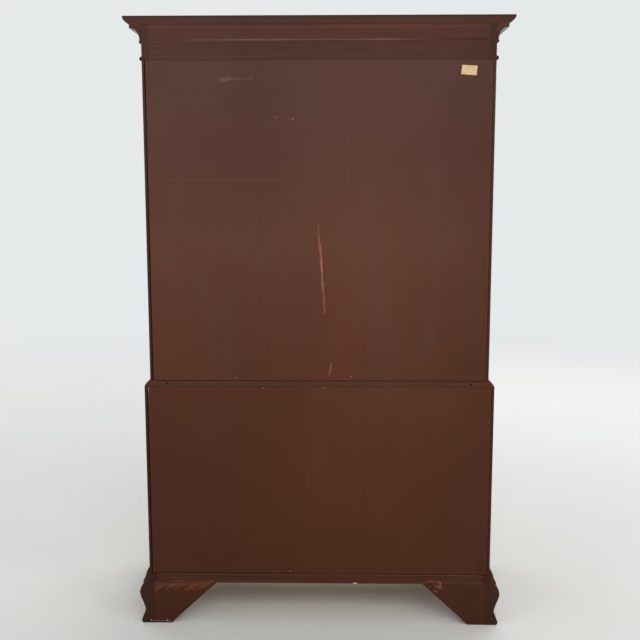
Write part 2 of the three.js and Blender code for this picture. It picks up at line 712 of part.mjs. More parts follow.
// A drawer's front and box, for an opening between two sides and two levels, behind a case's front edges.
function drawer(name, left, right, row, caseFront) {
  const [x0, x1] = [left + FRONT_REVEAL, right - FRONT_REVEAL];
  const [z0, z1] = [row.bottom + FRONT_REVEAL, row.top - FRONT_REVEAL];
  const joint = caseFront + FRONT_THICKNESS;
  const [low, high] = [row.bottom + FIT, z1 - DRAWER_SIDE_DROP];
  const back = PANEL_INNER - DRAWER_BACK_ROOM;
  const bottom = low + DRAWER_BOTTOM_LIFT;
  const hands = [
    [x0, x0 + DRAWER_SIDE],
    [x1 - DRAWER_SIDE, x1],
  ];
  const tailRoom = [Math.max(low, z0), high];
  const cuts = hands.flatMap(([a, b], i) =>
    tails(joint, ...tailRoom, FIT).map((outline) =>
      prism(outline, "x", i ? a - FIT : a - CUT_OVERRUN, i ? b + CUT_OVERRUN : b + FIT),
    ),
  );
  const front = cut(
    block([x0, caseFront - COCK_BEAD_PROUD, z0], [x1, joint, z1]),
    block(
      [x0 + COCK_BEAD, caseFront - COCK_BEAD_PROUD - CUT_OVERRUN, z0 + COCK_BEAD],
      [x1 - COCK_BEAD, caseFront, z1 - COCK_BEAD],
    ),
    block(
      [x0 + DRAWER_SIDE, joint - DRAWER_BOTTOM - FIT, bottom - FIT],
      [x1 - DRAWER_SIDE, joint + CUT_OVERRUN, bottom + DRAWER_BOTTOM + FIT],
    ),
    ...cuts,
  );
  const sides = hands.map(([a, b]) =>
    join(
      block([a, joint + FIT, low], [b, back, high]),
      ...tails(joint, ...tailRoom, 0).map((outline) => prism(outline, "x", a, b)),
    ),
  );
  const box = join(
    ...sides,
    block([x0, back - DRAWER_SIDE, low], [x1, back, high]),
    block(
      [x0 + DRAWER_SIDE - FIT, joint + FIT, bottom],
      [x1 - DRAWER_SIDE + FIT, back, bottom + DRAWER_BOTTOM],
    ),
    block(
      [x0 + DRAWER_SIDE + FIT, joint - DRAWER_BOTTOM, bottom],
      [x1 - DRAWER_SIDE - FIT, joint + CUT_OVERRUN, bottom + DRAWER_BOTTOM],
    ),
  );
  place(`${name}_front`, front, mahogany);
  place(`${name}_box`, box, drawerWood);
}

// Pulls
const plateOutline = [
  ...PLATE_SHARES,
  ...PLATE_SHARES.slice(1, -1)
    .reverse()
    .map(([x, z]) => [-x, z]),
].map(([x, z]) => [(PLATE_WIDTH / 2) * x, (PLATE_HEIGHT / 2) * z]);

// The back plate with its two posts. x and z are the middle of the line between the posts.
function pullPlate(x, face, z) {
  const outline = plateOutline.map(([dx, dz]) => [x + dx, z - POST_RISE + dz]);
  const plateFace = face - FIT - PLATE_THICKNESS;
  const neck = POST_REACH - POST_HEAD;
  const post = [
    [0, -PLATE_THICKNESS / 2],
    [POST_HEAD, -PLATE_THICKNESS / 2],
    [POST_HEAD, POST_COLLAR],
    [POST_STEM, 2 * POST_COLLAR],
    [POST_STEM, neck],
    [POST_HEAD, POST_REACH - POST_STEM],
    [POST_HEAD, POST_REACH + POST_STEM],
    [POST_STEM, POST_REACH + POST_HEAD],
    [0, POST_REACH + POST_HEAD],
  ];
  const posts = [-1, 1].map((hand) => turned(post, ROUND_SIDES, x + hand * POST_SPREAD, plateFace, z));
  const holes = [-1, 1].map((hand) =>
    rod(
      "x",
      [x + hand * POST_SPREAD, plateFace - POST_REACH, z],
      BAIL_PIN + BAIL_PLAY,
      2 * (POST_HEAD + CUT_OVERRUN),
      HOLE_SIDES,
    ),
  );
  return cut(join(prism(outline, "y", plateFace, face - FIT), ...posts), ...holes);
}

// The bail: a bar that swells to its middle, with a pin at each end inside a post.
function bail(x, face, z) {
  const axisY = face - FIT - PLATE_THICKNESS - POST_REACH;
  const shoulder = POST_SPREAD + POST_HEAD + BAIL_WING;
  const pinEnd = POST_SPREAD + POST_HEAD - BAIL_PIN_LENGTH;
  const half = [
    [pinEnd, 0],
    [POST_SPREAD + POST_HEAD + BAIL_EAR, 0],
    ...BAIL_SHARES.map(([across, down]) => [shoulder * across, -BAIL_DROP * down]),
  ];
  const line = [...half, ...half.slice(0, -1).reverse().map(([a, b]) => [-a, b])];
  const rings = line.map(([a, b], i) => {
    const before = line[Math.max(i - 1, 0)];
    const after = line[Math.min(i + 1, line.length - 1)];
    const along = new THREE.Vector2(after[0] - before[0], after[1] - before[1]).normalize();
    const radius = BAIL_PIN + (BAIL_SWELL - BAIL_PIN) * Math.max(0, -b / BAIL_DROP) ** 2;
    return Array.from({ length: BAR_SIDES }, (_, k) => {
      const angle = (-2 * Math.PI * (k + 1 / 2)) / BAR_SIDES;
      const inPlane = radius * Math.cos(angle);
      return [x + a - inPlane * along.y, axisY + radius * Math.sin(angle), z + b + inPlane * along.x];
    });
  });
  return skin(rings);
}

function knob(x, face, z) {
  const halfHead = KNOB_RADIUS / 2;
  const head = arc([KNOB_NECK, KNOB_LENGTH - halfHead], [KNOB_RADIUS - KNOB_NECK, halfHead], -90, 90, 6);
  const profile = [
    [0, 0],
    [KNOB_ROSE, 0],
    [KNOB_ROSE, KNOB_ROSE_THICKNESS],
    [KNOB_NECK, 2 * KNOB_ROSE_THICKNESS],
    [KNOB_NECK, KNOB_LENGTH - KNOB_RADIUS],
    ...head.slice(1, -1),
    [KNOB_NECK, KNOB_LENGTH],
    [0, KNOB_LENGTH],
  ];
  return turned(profile, KNOB_SIDES, x, face - FIT, z);
}

// The middle of a row, where its pulls and knobs sit
const middleOf = (row) => (row.top + row.bottom) / 2;

const smallRow = upperRows[0];
const smallHalf = HALF_UPPER - BOARD;
["left", "right"].forEach((side, i) => {
  const hand = i ? 1 : -1;
  const edges = ordered(hand * smallHalf, (hand * BOARD) / 2);
  drawer(`small_drawer_${side}`, ...edges, smallRow, UPPER_FRONT);
  place(`small_drawer_${side}_knob`, knob((edges[0] + edges[1]) / 2, UPPER_FRONT, middleOf(smallRow)), brass);
});

const longDrawers = [
  ...upperRows.slice(1).map((row, i) => [`upper_drawer_${i + 1}`, HALF_UPPER, UPPER_FRONT, row]),
  ...lowerRows.map((row, i) => [`lower_drawer_${i + 1}`, HALF_LOWER, LOWER_FRONT, row]),
];
for (const [name, half, front, row] of longDrawers) {
  drawer(name, BOARD - half, half - BOARD, row, front);
  ["left", "right"].forEach((side, i) => {
    const x = (i ? 1 : -1) * PULL_SPREAD_SHARE * UPPER_WIDTH;
    place(`${name}_plate_${side}`, pullPlate(x, front, middleOf(row) + POST_RISE), brass);
    place(`${name}_bail_${side}`, bail(x, front, middleOf(row) + POST_RISE), brass);
  });
}

export default highboy;
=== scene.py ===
"""A chest-on-chest highboy, shaped and finished piece by piece round its frame.

Metres, in the frame's own axes: +Z is up, the drawers open towards -Y and the back is at +Y.
"""

import logging
import math
from collections.abc import Callable, Mapping, Sequence
from dataclasses import dataclass
from enum import Enum
from functools import cached_property
from typing import ClassVar

import bmesh
import bpy
from mathutils import Matrix, Vector

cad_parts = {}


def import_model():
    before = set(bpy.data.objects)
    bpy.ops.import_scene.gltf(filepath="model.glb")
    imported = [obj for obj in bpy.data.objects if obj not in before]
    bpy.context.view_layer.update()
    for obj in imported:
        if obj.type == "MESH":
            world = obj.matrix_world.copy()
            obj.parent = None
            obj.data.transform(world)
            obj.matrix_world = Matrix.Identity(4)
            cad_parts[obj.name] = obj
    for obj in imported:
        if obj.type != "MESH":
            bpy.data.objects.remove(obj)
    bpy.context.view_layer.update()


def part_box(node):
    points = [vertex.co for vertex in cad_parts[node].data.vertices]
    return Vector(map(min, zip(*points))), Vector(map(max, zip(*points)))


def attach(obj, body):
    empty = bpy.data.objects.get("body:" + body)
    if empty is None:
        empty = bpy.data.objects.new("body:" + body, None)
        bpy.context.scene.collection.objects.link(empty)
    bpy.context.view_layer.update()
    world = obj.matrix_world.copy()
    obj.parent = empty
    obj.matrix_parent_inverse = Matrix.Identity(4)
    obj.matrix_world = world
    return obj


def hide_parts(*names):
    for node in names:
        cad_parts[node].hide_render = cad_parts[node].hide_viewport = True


LOG = logging.getLogger("highboy")
FIT = 0.0003  # gap between two pieces that meet
MITRE = 0.00006  # gap in a mitre
OVERRUN = 0.002  # how far a cut runs past the surface that it opens
TOUCH = 1e-6  # two places nearer than this are one
SQUARELY = 0.9  # a face whose normal has this much of an axis looks along it
SOFT_EDGE = 0.0006  # the rounding of a planed edge
BACK_EDGE = 0.0009  # the rounding of a board's edge at the back
HANDS = (("left", -1), ("right", 1))

Colour = tuple[float, float, float, float]
Pair = tuple[float, float]
Triple = tuple[float, float, float]
Stops = tuple[tuple[float, Colour], ...]
Socket = bpy.types.NodeSocket


def screen(*levels: float) -> Colour:
    """Turns red, green and blue as a screen shows them, from 0 to 255, into light's own scale."""
    linear = (((c / 255 + 0.055) / 1.055) ** 2.4 if c > 10 else c / 255 / 12.92 for c in levels)
    return (*linear, 1.0)


def tones(*rows: Colour) -> Stops:
    """Gives places their colours, from rows of a place, red, green and blue."""
    return tuple((place, screen(*levels)) for place, *levels in rows)


class Axis(Enum):
    """The way that grain, a cut or a pin runs."""

    X = 0
    Y = 1
    Z = 2

    def pace(self, along: float, across: float) -> Triple:
        """The repeats to the metre on X, Y and Z, from those along this axis and across it."""
        return tuple(along if axis is self else across for axis in Axis)

    def place(self, flat: Pair, along: float) -> Vector:
        """The point along this axis whose other two places, in the order X, Y, Z, are given."""
        return Vector((*flat[: self.value], along, *flat[self.value :]))


@dataclass(frozen=True)
class Value:
    """A number that varies over a surface, so that shader maths reads as plain sums."""

    graph: "Graph"
    socket: Socket

    def __add__(self, other: "Value | float") -> "Value":
        """This plus the other."""
        return self.graph.maths("ADD", self, other)

    def __radd__(self, other: float) -> "Value":
        """The other plus this."""
        return self.graph.maths("ADD", other, self)

    def __sub__(self, other: "Value | float") -> "Value":
        """This less the other."""
        return self.graph.maths("SUBTRACT", self, other)

    def __rsub__(self, other: float) -> "Value":
        """The other less this."""
        return self.graph.maths("SUBTRACT", other, self)

    def __mul__(self, other: "Value | float") -> "Value":
        """This times the other."""
        return self.graph.maths("MULTIPLY", self, other)

    def __rmul__(self, other: float) -> "Value":
        """The other times this."""
        return self.graph.maths("MULTIPLY", other, self)

    def __truediv__(self, other: "Value | float") -> "Value":
        """This over the other."""
        return self.graph.maths("DIVIDE", self, other)


@dataclass(frozen=True)
class Mark:
    """A scratch, rub, chip, painted highlight or line of painted shade on a face, as a line between two places of it.
    """

    start: Pair
    end: Pair
    width: float
    colour: Colour
    strength: float = 0.9
    ragged: float = 0.5
    pace: Pair = (260.0, 70.0)  # how fine its torn rim is, across and up
    depth: float = 0.0
    soft: float = 0.0
    fade: float = 0.0  # the share of its length over which each end fades out


def marks(*rows: Sequence[float | Colour | Pair]) -> tuple[Mark, ...]:
    """Makes marks from rows of X and Z at both ends, and then the mark's other values in their order."""
    return tuple(Mark((x0, z0), (x1, z1), *rest) for x0, z0, x1, z1, *rest in rows)


class Graph:
    """The nodes of a material, or of the world."""

    def __init__(self, owner: bpy.types.Material | bpy.types.World) -> None:
        """Empties the owner's nodes.

        Args:
            owner: The material or world.
        """
        self.owner = owner
        owner.use_nodes = True
        owner.node_tree.nodes.clear()

    @cached_property
    def place(self) -> bpy.types.Node:
        """The surface's place and the way that it faces."""
        return self.node("ShaderNodeTexCoord")

    def node(
        self,
        kind: str,
        settings: Mapping[str, object] | None = None,
        inputs: Mapping[int | str, object] | None = None,
    ) -> bpy.types.Node:
        """Adds a node.

        Args:
            kind: The node's type.
            settings: Its settings, set first. The stops of a ramp are given as "stops".
            inputs: Values or links for its sockets, by name or number.

        Returns:
            The node.
        """
        made = self.owner.node_tree.nodes.new(kind)
        for key, value in (settings or {}).items():
            if key != "stops":
                setattr(made, key, value)
                continue
            stops = made.color_ramp.elements
            while len(stops) < len(value):
                stops.new(1.0)
            for stop, (stop_place, colour) in zip(stops, value):
                stop.position, stop.color = stop_place, colour
        for key, value in (inputs or {}).items():
            source = value.socket if isinstance(value, Value) else value
            if isinstance(source, Socket):
                self.owner.node_tree.links.new(source, made.inputs[key])
            else:
                made.inputs[key].default_value = source[:3] if made.inputs[key].type == "VECTOR" else source
        return made

    def maths(self, operation: str, *values: Value | float, clamp: bool = False) -> Value:
        """A sum of numbers, kept from 0 to 1 if it is clamped."""
        settings = {"operation": operation, "use_clamp": clamp}
        return Value(self, self.node("ShaderNodeMath", settings, dict(enumerate(values))).outputs[0])

    def vector(self, operation: str, *values: object) -> Socket:
        """A sum of vectors or colours."""
        return self.node("ShaderNodeVectorMath", {"operation": operation}, dict(enumerate(values))).outputs[0]

    def scaled(self, colour: object, by: Value | float) -> Socket:
        """A vector or colour times a number."""
        return self.node("ShaderNodeVectorMath", {"operation": "SCALE"}, {0: colour, "Scale": by}).outputs[0]

    def measure(self, operation: str, *values: object) -> Value:
        """A number from vectors, such as a length or a dot product."""
        inputs = dict(enumerate(values))
        return Value(self, self.node("ShaderNodeVectorMath", {"operation": operation}, inputs).outputs[1])

    def along(self, axis: Axis) -> Value:
        """The surface's place along an axis."""
        return self.measure("DOT_PRODUCT", self.place.outputs["Object"], axis.place((0.0, 0.0), 1.0))

    def facing(self, axis: Axis) -> Value:
        """How squarely the surface faces along an axis, either way."""
        towards = self.measure("DOT_PRODUCT", self.place.outputs["Normal"], axis.place((0.0, 0.0), 1.0))
        return self.maths("ABSOLUTE", towards)

    def spread(self, value: Value, low: float, high: float, smooth: bool = True) -> Value:
        """A number stretched so that low becomes 0 and high becomes 1, easing in and out if it is smooth."""
        settings = {"interpolation_type": "SMOOTHSTEP" if smooth else "LINEAR", "clamp": True}
        return Value(self, self.node("ShaderNodeMapRange", settings, {0: value, 1: low, 2: high}).outputs[0])

    def noise(self, pace: Triple, detail: float = 2.0, shift: float = 0.0, rough: float = 0.5) -> Value:
        """Makes a cloudy pattern.

        Args:
            pace: Its repeats to the metre on each axis.
            detail: How many finer layers it has.
            shift: Moves it, so that two patterns differ.
            rough: How strong the finer layers are.

        Returns:
            A number about 0.5.
        """
        moved = (shift, shift * 0.7, shift * 1.3)
        place = self.vector("MULTIPLY_ADD", self.place.outputs["Object"], pace, moved)
        inputs = {"Vector": place, "Scale": 1.0, "Detail": detail, "Roughness": rough}
        return Value(self, self.node("ShaderNodeTexNoise", {}, inputs).outputs[0])

    def mix(self, share: Value | float, first: object, second: object) -> Socket:
        """Two colours, mixed by the second's share."""
        settings = {"data_type": "RGBA", "blend_type": "MIX", "clamp_factor": True}
        return self.node("ShaderNodeMix", settings, {0: share, 6: first, 7: second}).outputs[2]

    def ramp(self, value: Value, stops: Sequence[tuple[float, Colour]]) -> Socket:
        """The colour that a number has among stops."""
        return self.node("ShaderNodeValToRGB", {"stops": stops}, {"Fac": value}).outputs["Color"]

    def banded(self, axis: Axis, stops: Stops) -> Socket:
        """Colours a surface in soft bands along an axis.

        Args:
            axis: The axis.
            stops: Each colour and its place along the axis, from the lowest.

        Returns:
            The colour's socket.
        """
        low, high = stops[0][0], stops[-1][0]
        shares = [((place - low) / (high - low), colour) for place, colour in stops]
        return self.ramp(self.spread(self.along(axis), low, high, smooth=False), shares)

    def worn_edge(self, pace: float, low: float, high: float) -> Value:
        """Where eased edges are worn, from a pattern that starts the wear at low and fills it at high."""
        edge = self.node("ShaderNodeAttribute", {"attribute_name": Shape.ARRIS})
        return Value(self, edge.outputs["Fac"]) * self.spread(self.noise((pace,) * 3, 3.0), low, high)

    def marked(self, mark: Mark) -> Value:
        """Finds where a mark is on a face that looks backwards.

        Args:
            mark: The mark, its places given as X and Z.

        Returns:
            A number from 0 to 1.
        """
        start, end = (Axis.Y.place(place, 0.0) for place in (mark.start, mark.end))
        along = end - start
        flat = self.vector("MULTIPLY", self.place.outputs["Object"], (1.0, 0.0, 1.0))
        away = self.vector("SUBTRACT", flat, start)
        reached = self.measure("DOT_PRODUCT", away, along / along.length_squared)
        share = self.maths("MULTIPLY", reached, 1.0, clamp=True)
        gap = self.measure("LENGTH", self.vector("SUBTRACT", away, self.scaled(along, share)))
        torn = (self.noise(Axis.Z.pace(*mark.pace[::-1]), 3.0, mark.start[0]) - 0.5) * (2 * mark.ragged)
        inside = self.spread(1.0 - gap / mark.width + torn, 0.3 - 0.3 * mark.soft, 0.62 + 0.38 * mark.soft)
        if not mark.fade:
            return inside
        return inside * self.spread(self.maths("MINIMUM", share, 1.0 - share), 0.0, mark.fade)

    def surface(
        self, colour: object, roughness: Value | float, height: Value, depth: float, **constants: float
    ) -> None:
        """Ends the graph in one shader.

        Args:
            colour: The base colour.
            roughness: The roughness.
            height: The relief.
            depth: The relief's depth.
            constants: Values for other sockets, with underscores for spaces.
        """
        inputs = {key.replace("_", " "): value for key, value in constants.items()}
        bump = self.node("ShaderNodeBump", {}, {"Height": height, "Distance": depth})
        inputs |= {"Base Color": colour, "Roughness": roughness, "Normal": bump.outputs["Normal"]}
        shader = self.node("ShaderNodeBsdfPrincipled", {}, inputs)
        self.node("ShaderNodeOutputMaterial", {}, {"Surface": shader.outputs["BSDF"]})


class Finish:
    """A way of finishing a piece. Each finish makes its material once."""

    slot: ClassVar[str | None] = None
    made: ClassVar[dict["Finish", bpy.types.Material]] = {}

    def material(self) -> bpy.types.Material:
        """Makes the finish's material, or finds the one that is made.

        Returns:
            The material.
        """
        if self not in Finish.made:
            Finish.made[self] = bpy.data.materials.new(type(self).__name__.lower())
            self.paint(Graph(Finish.made[self]))
        return Finish.made[self]

    def paint(self, graph: Graph) -> None:
        """Builds the finish's nodes in an empty graph."""
        raise NotImplementedError


@dataclass(frozen=True)
class StainedBack(Finish):
    """A dull red-brown stain, brushed thinly over the boards of the back, with painted light and shade in its colour.
    """

    tones: Stops  # each tone and its level on the back, from the lowest up
    grain: Axis = Axis.Z
    streaks: float = 0.16
    # grey cloudy patches in the stain, partly a painted sheen
    haze_and_sheen: Colour = screen(84, 66, 60)
    roughness: float = 0.5
    marks: tuple[Mark, ...] = ()
    across: tuple[Colour, ...] = ()  # places along X, and the painted light and shade on the stain's red, green and blue there
    lines: float = 0.0  # how strong the fine lines along the grain are
    slot = "stained_back"

    def paint(self, graph: Graph) -> None:
        """Builds the stain's nodes.

        Args:
            graph: The empty graph to build in.
        """
        cloud = graph.noise((2.6, 2.6, 1.9), 4.0)
        brush = graph.noise(self.grain.pace(1.4, 46.0), 4.0, rough=0.6)
        fibre = graph.noise(self.grain.pace(16.0, 520.0), 3.0)
        speck = graph.noise((900.0, 900.0, 900.0), 1.0)
        light = 1.0 + (brush - 0.5) * self.streaks + (cloud - 0.5) * 0.3 + (fibre - 0.5) * 0.22 + (speck - 0.5) * 0.1
        if self.lines:
            light = light + (graph.noise(self.grain.pace(2.2, 115.0), 2.0, 6.0) - 0.5) * self.lines
        colour = graph.scaled(graph.banded(Axis.Z, self.tones), light)
        if self.across:  # painted light and shade across X; a ramp holds no more than 1, so the shades go in by halves
            halves = tuple((place, (*(shade / 2 for shade in shades), 1.0)) for place, *shades in self.across)
            colour = graph.vector("MULTIPLY", colour, graph.scaled(graph.banded(Axis.X, halves), 2.0))
        # cloudy patches of the grey colour, partly a painted sheen
        haze_and_sheen_share = graph.spread(graph.noise((7.0, 7.0, 4.0), 3.0, 4.0), 0.48, 0.78) * 0.16
        colour = graph.mix(haze_and_sheen_share, colour, self.haze_and_sheen)
        height = fibre * 0.5 + speck * 0.35
        for mark in self.marks:
            where = graph.marked(mark) * mark.strength
            mottle = graph.noise(Axis.Z.pace(*mark.pace[::-1]), 3.0, 9.0)
            colour = graph.mix(where, colour, graph.scaled(mark.colour, 0.55 + mottle * 0.9))
            height = height - where * mark.depth
        colour = graph.mix(graph.worn_edge(55.0, 0.52, 0.66) * 0.5, colour, screen(120, 78, 58))
        roughness = self.roughness + (cloud - 0.5) * 0.25 + (brush - 0.5) * 0.12
        graph.surface(colour, roughness, height, 0.00016, Specular_IOR_Level=0.13)


@dataclass(frozen=True)
class Mahogany(Finish):
    """Mahogany under a satin lacquer, stained red-brown."""

    grain: Axis = Axis.X
    figure: float = 0.35
    shift: float = 0.0
    deep: Colour = screen(60, 25, 15)
    body: Colour = screen(98, 44, 26)
    pale: Colour = screen(134, 68, 40)
    roughness: float = 0.36
    slot = "mahogany"

    def paint(self, graph: Graph) -> None:
        """Builds the lacquered wood's nodes.

        Args:
            graph: The empty graph to build in.
        """
        wander = graph.noise(self.grain.pace(0.7, 4.5), 2.0, self.shift)
        rings = graph.maths("SINE", wander * 74.0 + graph.noise(self.grain.pace(3.0, 40.0), 2.0) * 2.4)
        streak = graph.noise(self.grain.pace(1.3, 95.0), 6.0, self.shift, 0.68)
        fibre = graph.noise(self.grain.pace(14.0, 760.0), 2.0, self.shift)
        pore = graph.spread(graph.noise(self.grain.pace(70.0, 1500.0), 1.0), 0.6, 0.74)
        cloud = graph.noise(self.grain.pace(1.1, 5.5), 3.0, self.shift)
        tone = 0.5 + rings * (0.11 * self.figure) + (streak - 0.5) * 0.72 + (fibre - 0.5) * 0.6
        tone = tone + (cloud - 0.5) * (0.22 + self.figure * 0.2)
        colour = graph.ramp(tone, [(0.14, self.deep), (0.5, self.body), (0.86, self.pale)])
        colour = graph.mix(pore * 0.55, colour, self.deep)
        end = graph.spread(graph.facing(self.grain), 0.75, 0.92)
        end_tone = graph.noise((420.0, 420.0, 420.0), 2.0, self.shift)
        colour = graph.mix(end * 0.8, colour, graph.scaled(self.deep, 0.75 + end_tone * 0.8))
        colour = graph.mix(graph.worn_edge(60.0, 0.5, 0.64) * 0.55, colour, self.pale)
        roughness = self.roughness + (cloud - 0.5) * 0.2 + pore * 0.12 + end * 0.1
        lacquer = {"Coat_Weight": 0.12, "Coat_Roughness": 0.2, "Specular_IOR_Level": 0.4}
        graph.surface(colour, roughness, fibre * 0.4 - pore * 0.8, 0.00009, **lacquer)


@dataclass(frozen=True)
class BareWood(Finish):
    """Planed wood without a finish, a little dusty and darker at its ends."""

    slot: str = "drawer_wood"
    grain: Axis = Axis.X
    dark: Colour = screen(128, 92, 54)
    light: Colour = screen(196, 160, 112)
    shift: float = 0.0

    def paint(self, graph: Graph) -> None:
        """Builds the bare wood's nodes.

        Args:
            graph: The empty graph to build in.
        """
        rings = graph.maths("SINE", graph.noise(self.grain.pace(0.8, 7.0), 2.0, self.shift) * 95.0)
        streak = graph.noise(self.grain.pace(3.0, 110.0), 4.0, self.shift, 0.6)
        fibre = graph.noise(self.grain.pace(22.0, 800.0), 2.0, self.shift)
        dirt = graph.noise((6.0, 6.0, 6.0), 4.0, self.shift)
        tone = 0.55 + rings * 0.12 + (streak - 0.5) * 0.7 + (fibre - 0.5) * 0.3
        colour = graph.mix(graph.spread(tone, 0.1, 0.95, smooth=False), self.dark, self.light)
        colour = graph.mix(graph.spread(dirt, 0.55, 0.8) * 0.35, colour, self.dark)
        end = graph.spread(graph.facing(self.grain), 0.75, 0.92)
        colour = graph.mix(end * 0.55, colour, graph.scaled(self.dark, 0.8))
        roughness = 0.62 + (streak - 0.5) * 0.2
        graph.surface(colour, roughness, fibre * 0.6 + streak * 0.3, 0.00012, Specular_IOR_Level=0.3)


@dataclass(frozen=True)
class AgedBrass(Finish):
    """Brass with an old polish, browner where hands don't rub it."""

    bright: Colour = screen(206, 166, 92)
    brown: Colour = screen(116, 82, 44)
    rubbed: Colour = screen(226, 190, 120)
    slot = "brass"

    def paint(self, graph: Graph) -> None:
        """Builds the brass's nodes.

        Args:
            graph: The empty graph to build in.
        """
        tarnish = graph.spread(graph.noise((38.0, 38.0, 38.0), 5.0, rough=0.65), 0.42, 0.68)
        specks = graph.spread(graph.noise((420.0, 420.0, 420.0), 2.0), 0.58, 0.72)
        colour = graph.mix(tarnish * 0.6 + specks * 0.3, self.bright, self.brown)
        colour = graph.mix(graph.worn_edge(30.0, 0.3, 0.5) * 0.6, colour, self.rubbed)
        scuffs = graph.noise((90.0, 700.0, 700.0), 3.0)
        roughness = 0.24 + tarnish * 0.22 + (scuffs - 0.5) * 0.12
        graph.surface(colour, roughness, scuffs + specks * 0.4, 0.00003, Metallic=1.0)


@dataclass(frozen=True)
class DarkSteel(Finish):
    """Steel with a dull dark skin, for screws in their holes."""

    tone: Colour = screen(62, 54, 50)
    rust: Colour = screen(96, 58, 38)

    def paint(self, graph: Graph) -> None:
        """Builds the steel's nodes in an empty graph."""
        rust = graph.spread(graph.noise((600.0, 600.0, 600.0), 3.0), 0.5, 0.7)
        graph.surface(graph.mix(rust * 0.5, self.tone, self.rust), 0.4 + rust * 0.35, rust, 0.00005, Metallic=0.8)


@dataclass(frozen=True)
class NailFiller(Finish):
    """Wax filler over a brad's head, paler than the stain round it."""

    tone: Colour = screen(138, 104, 90)

    def paint(self, graph: Graph) -> None:
        """Builds the wax's nodes.

        Args:
            graph: The empty graph to build in.
        """
        crumbs = graph.noise((1400.0, 1400.0, 1400.0), 2.0)
        colour = graph.scaled(self.tone, 0.35 + crumbs * 0.5 + graph.noise((9.0, 9.0, 9.0), 1.0) * 0.7)
        graph.surface(colour, 0.6 + (crumbs - 0.5) * 0.2, crumbs, 0.0001, Specular_IOR_Level=0.3)


@dataclass(frozen=True)
class TagPaper(Finish):
    """Old tan paper tape, blank, with fibres, stains and a worn rim."""

    tone: Colour = screen(206, 178, 136)
    stain: Colour = screen(158, 118, 76)

    def paint(self, graph: Graph) -> None:
        """Builds the paper's nodes.

        Args:
            graph: The empty graph to build in.
        """
        fibre = graph.noise((900.0, 900.0, 240.0), 4.0)
        blot = graph.spread(graph.noise((70.0, 70.0, 90.0), 3.0, 2.0), 0.46, 0.72)
        colour = graph.mix(blot * 0.4 + (fibre - 0.5) * 0.25, self.tone, self.stain)
        colour = graph.mix(graph.worn_edge(300.0, 0.35, 0.6) * 0.6, colour, self.stain)
        graph.surface(colour, 0.7 + (fibre - 0.5) * 0.2, fibre, 0.00008, Specular_IOR_Level=0.2)


def stand(name: str, data: bpy.types.ID) -> bpy.types.Object:
    """Stands a mesh, lamp or camera in the scene."""
    bpy.context.scene.collection.objects.link(stood := bpy.data.objects.new(name, data))
    return stood


def angles(start: float, end: float, steps: int) -> list[float]:
    """Angles in even steps between two that are given in degrees, with both."""
    return [math.radians(start + (end - start) * i / steps) for i in range(steps + 1)]


def arc(centre: Pair, radii: Pair, start: float, end: float, steps: int) -> list[Pair]:
    """Part of an ellipse about a centre, between two angles in degrees."""
    return [(centre[0] + radii[0] * math.cos(a), centre[1] + radii[1] * math.sin(a)) for a in angles(start, end, steps)]


def bend(start: Pair, guide: Pair, end: Pair, steps: int) -> list[Pair]:
    """A curve between two points that leans towards a guide point."""
    shares = [((1 - i / steps) ** 2, 2 * i / steps * (1 - i / steps), (i / steps) ** 2) for i in range(steps + 1)]
    return [tuple(a * s + b * g + c * e for s, g, e in zip(start, guide, end)) for a, b, c in shares]


def smooth(points: Sequence[Pair], steps: int) -> list[Pair]:
    """Draws a smooth line through points.

    Args:
        points: The points.
        steps: How many steps it has between two points.

    Returns:
        The line's points.
    """
    line = []
    last = len(points) - 1
    for i in range(last):
        p0, p1, p2, p3 = (Vector(points[min(max(i + k, 0), last)]) for k in (-1, 0, 1, 2))
        for t in (step / steps for step in range(steps)):
            near = 2 * p1 + (p2 - p0) * t
            far = (2 * p0 - 5 * p1 + 4 * p2 - p3) * t**2 + (3 * p1 - p0 - 3 * p2 + p3) * t**3
            line.append(tuple((near + far) / 2))
    return [*line, tuple(points[last])]


def backward(face: bmesh.types.BMFace) -> bool:
    """Whether a face looks straight backwards."""
    return face.normal.y > SQUARELY


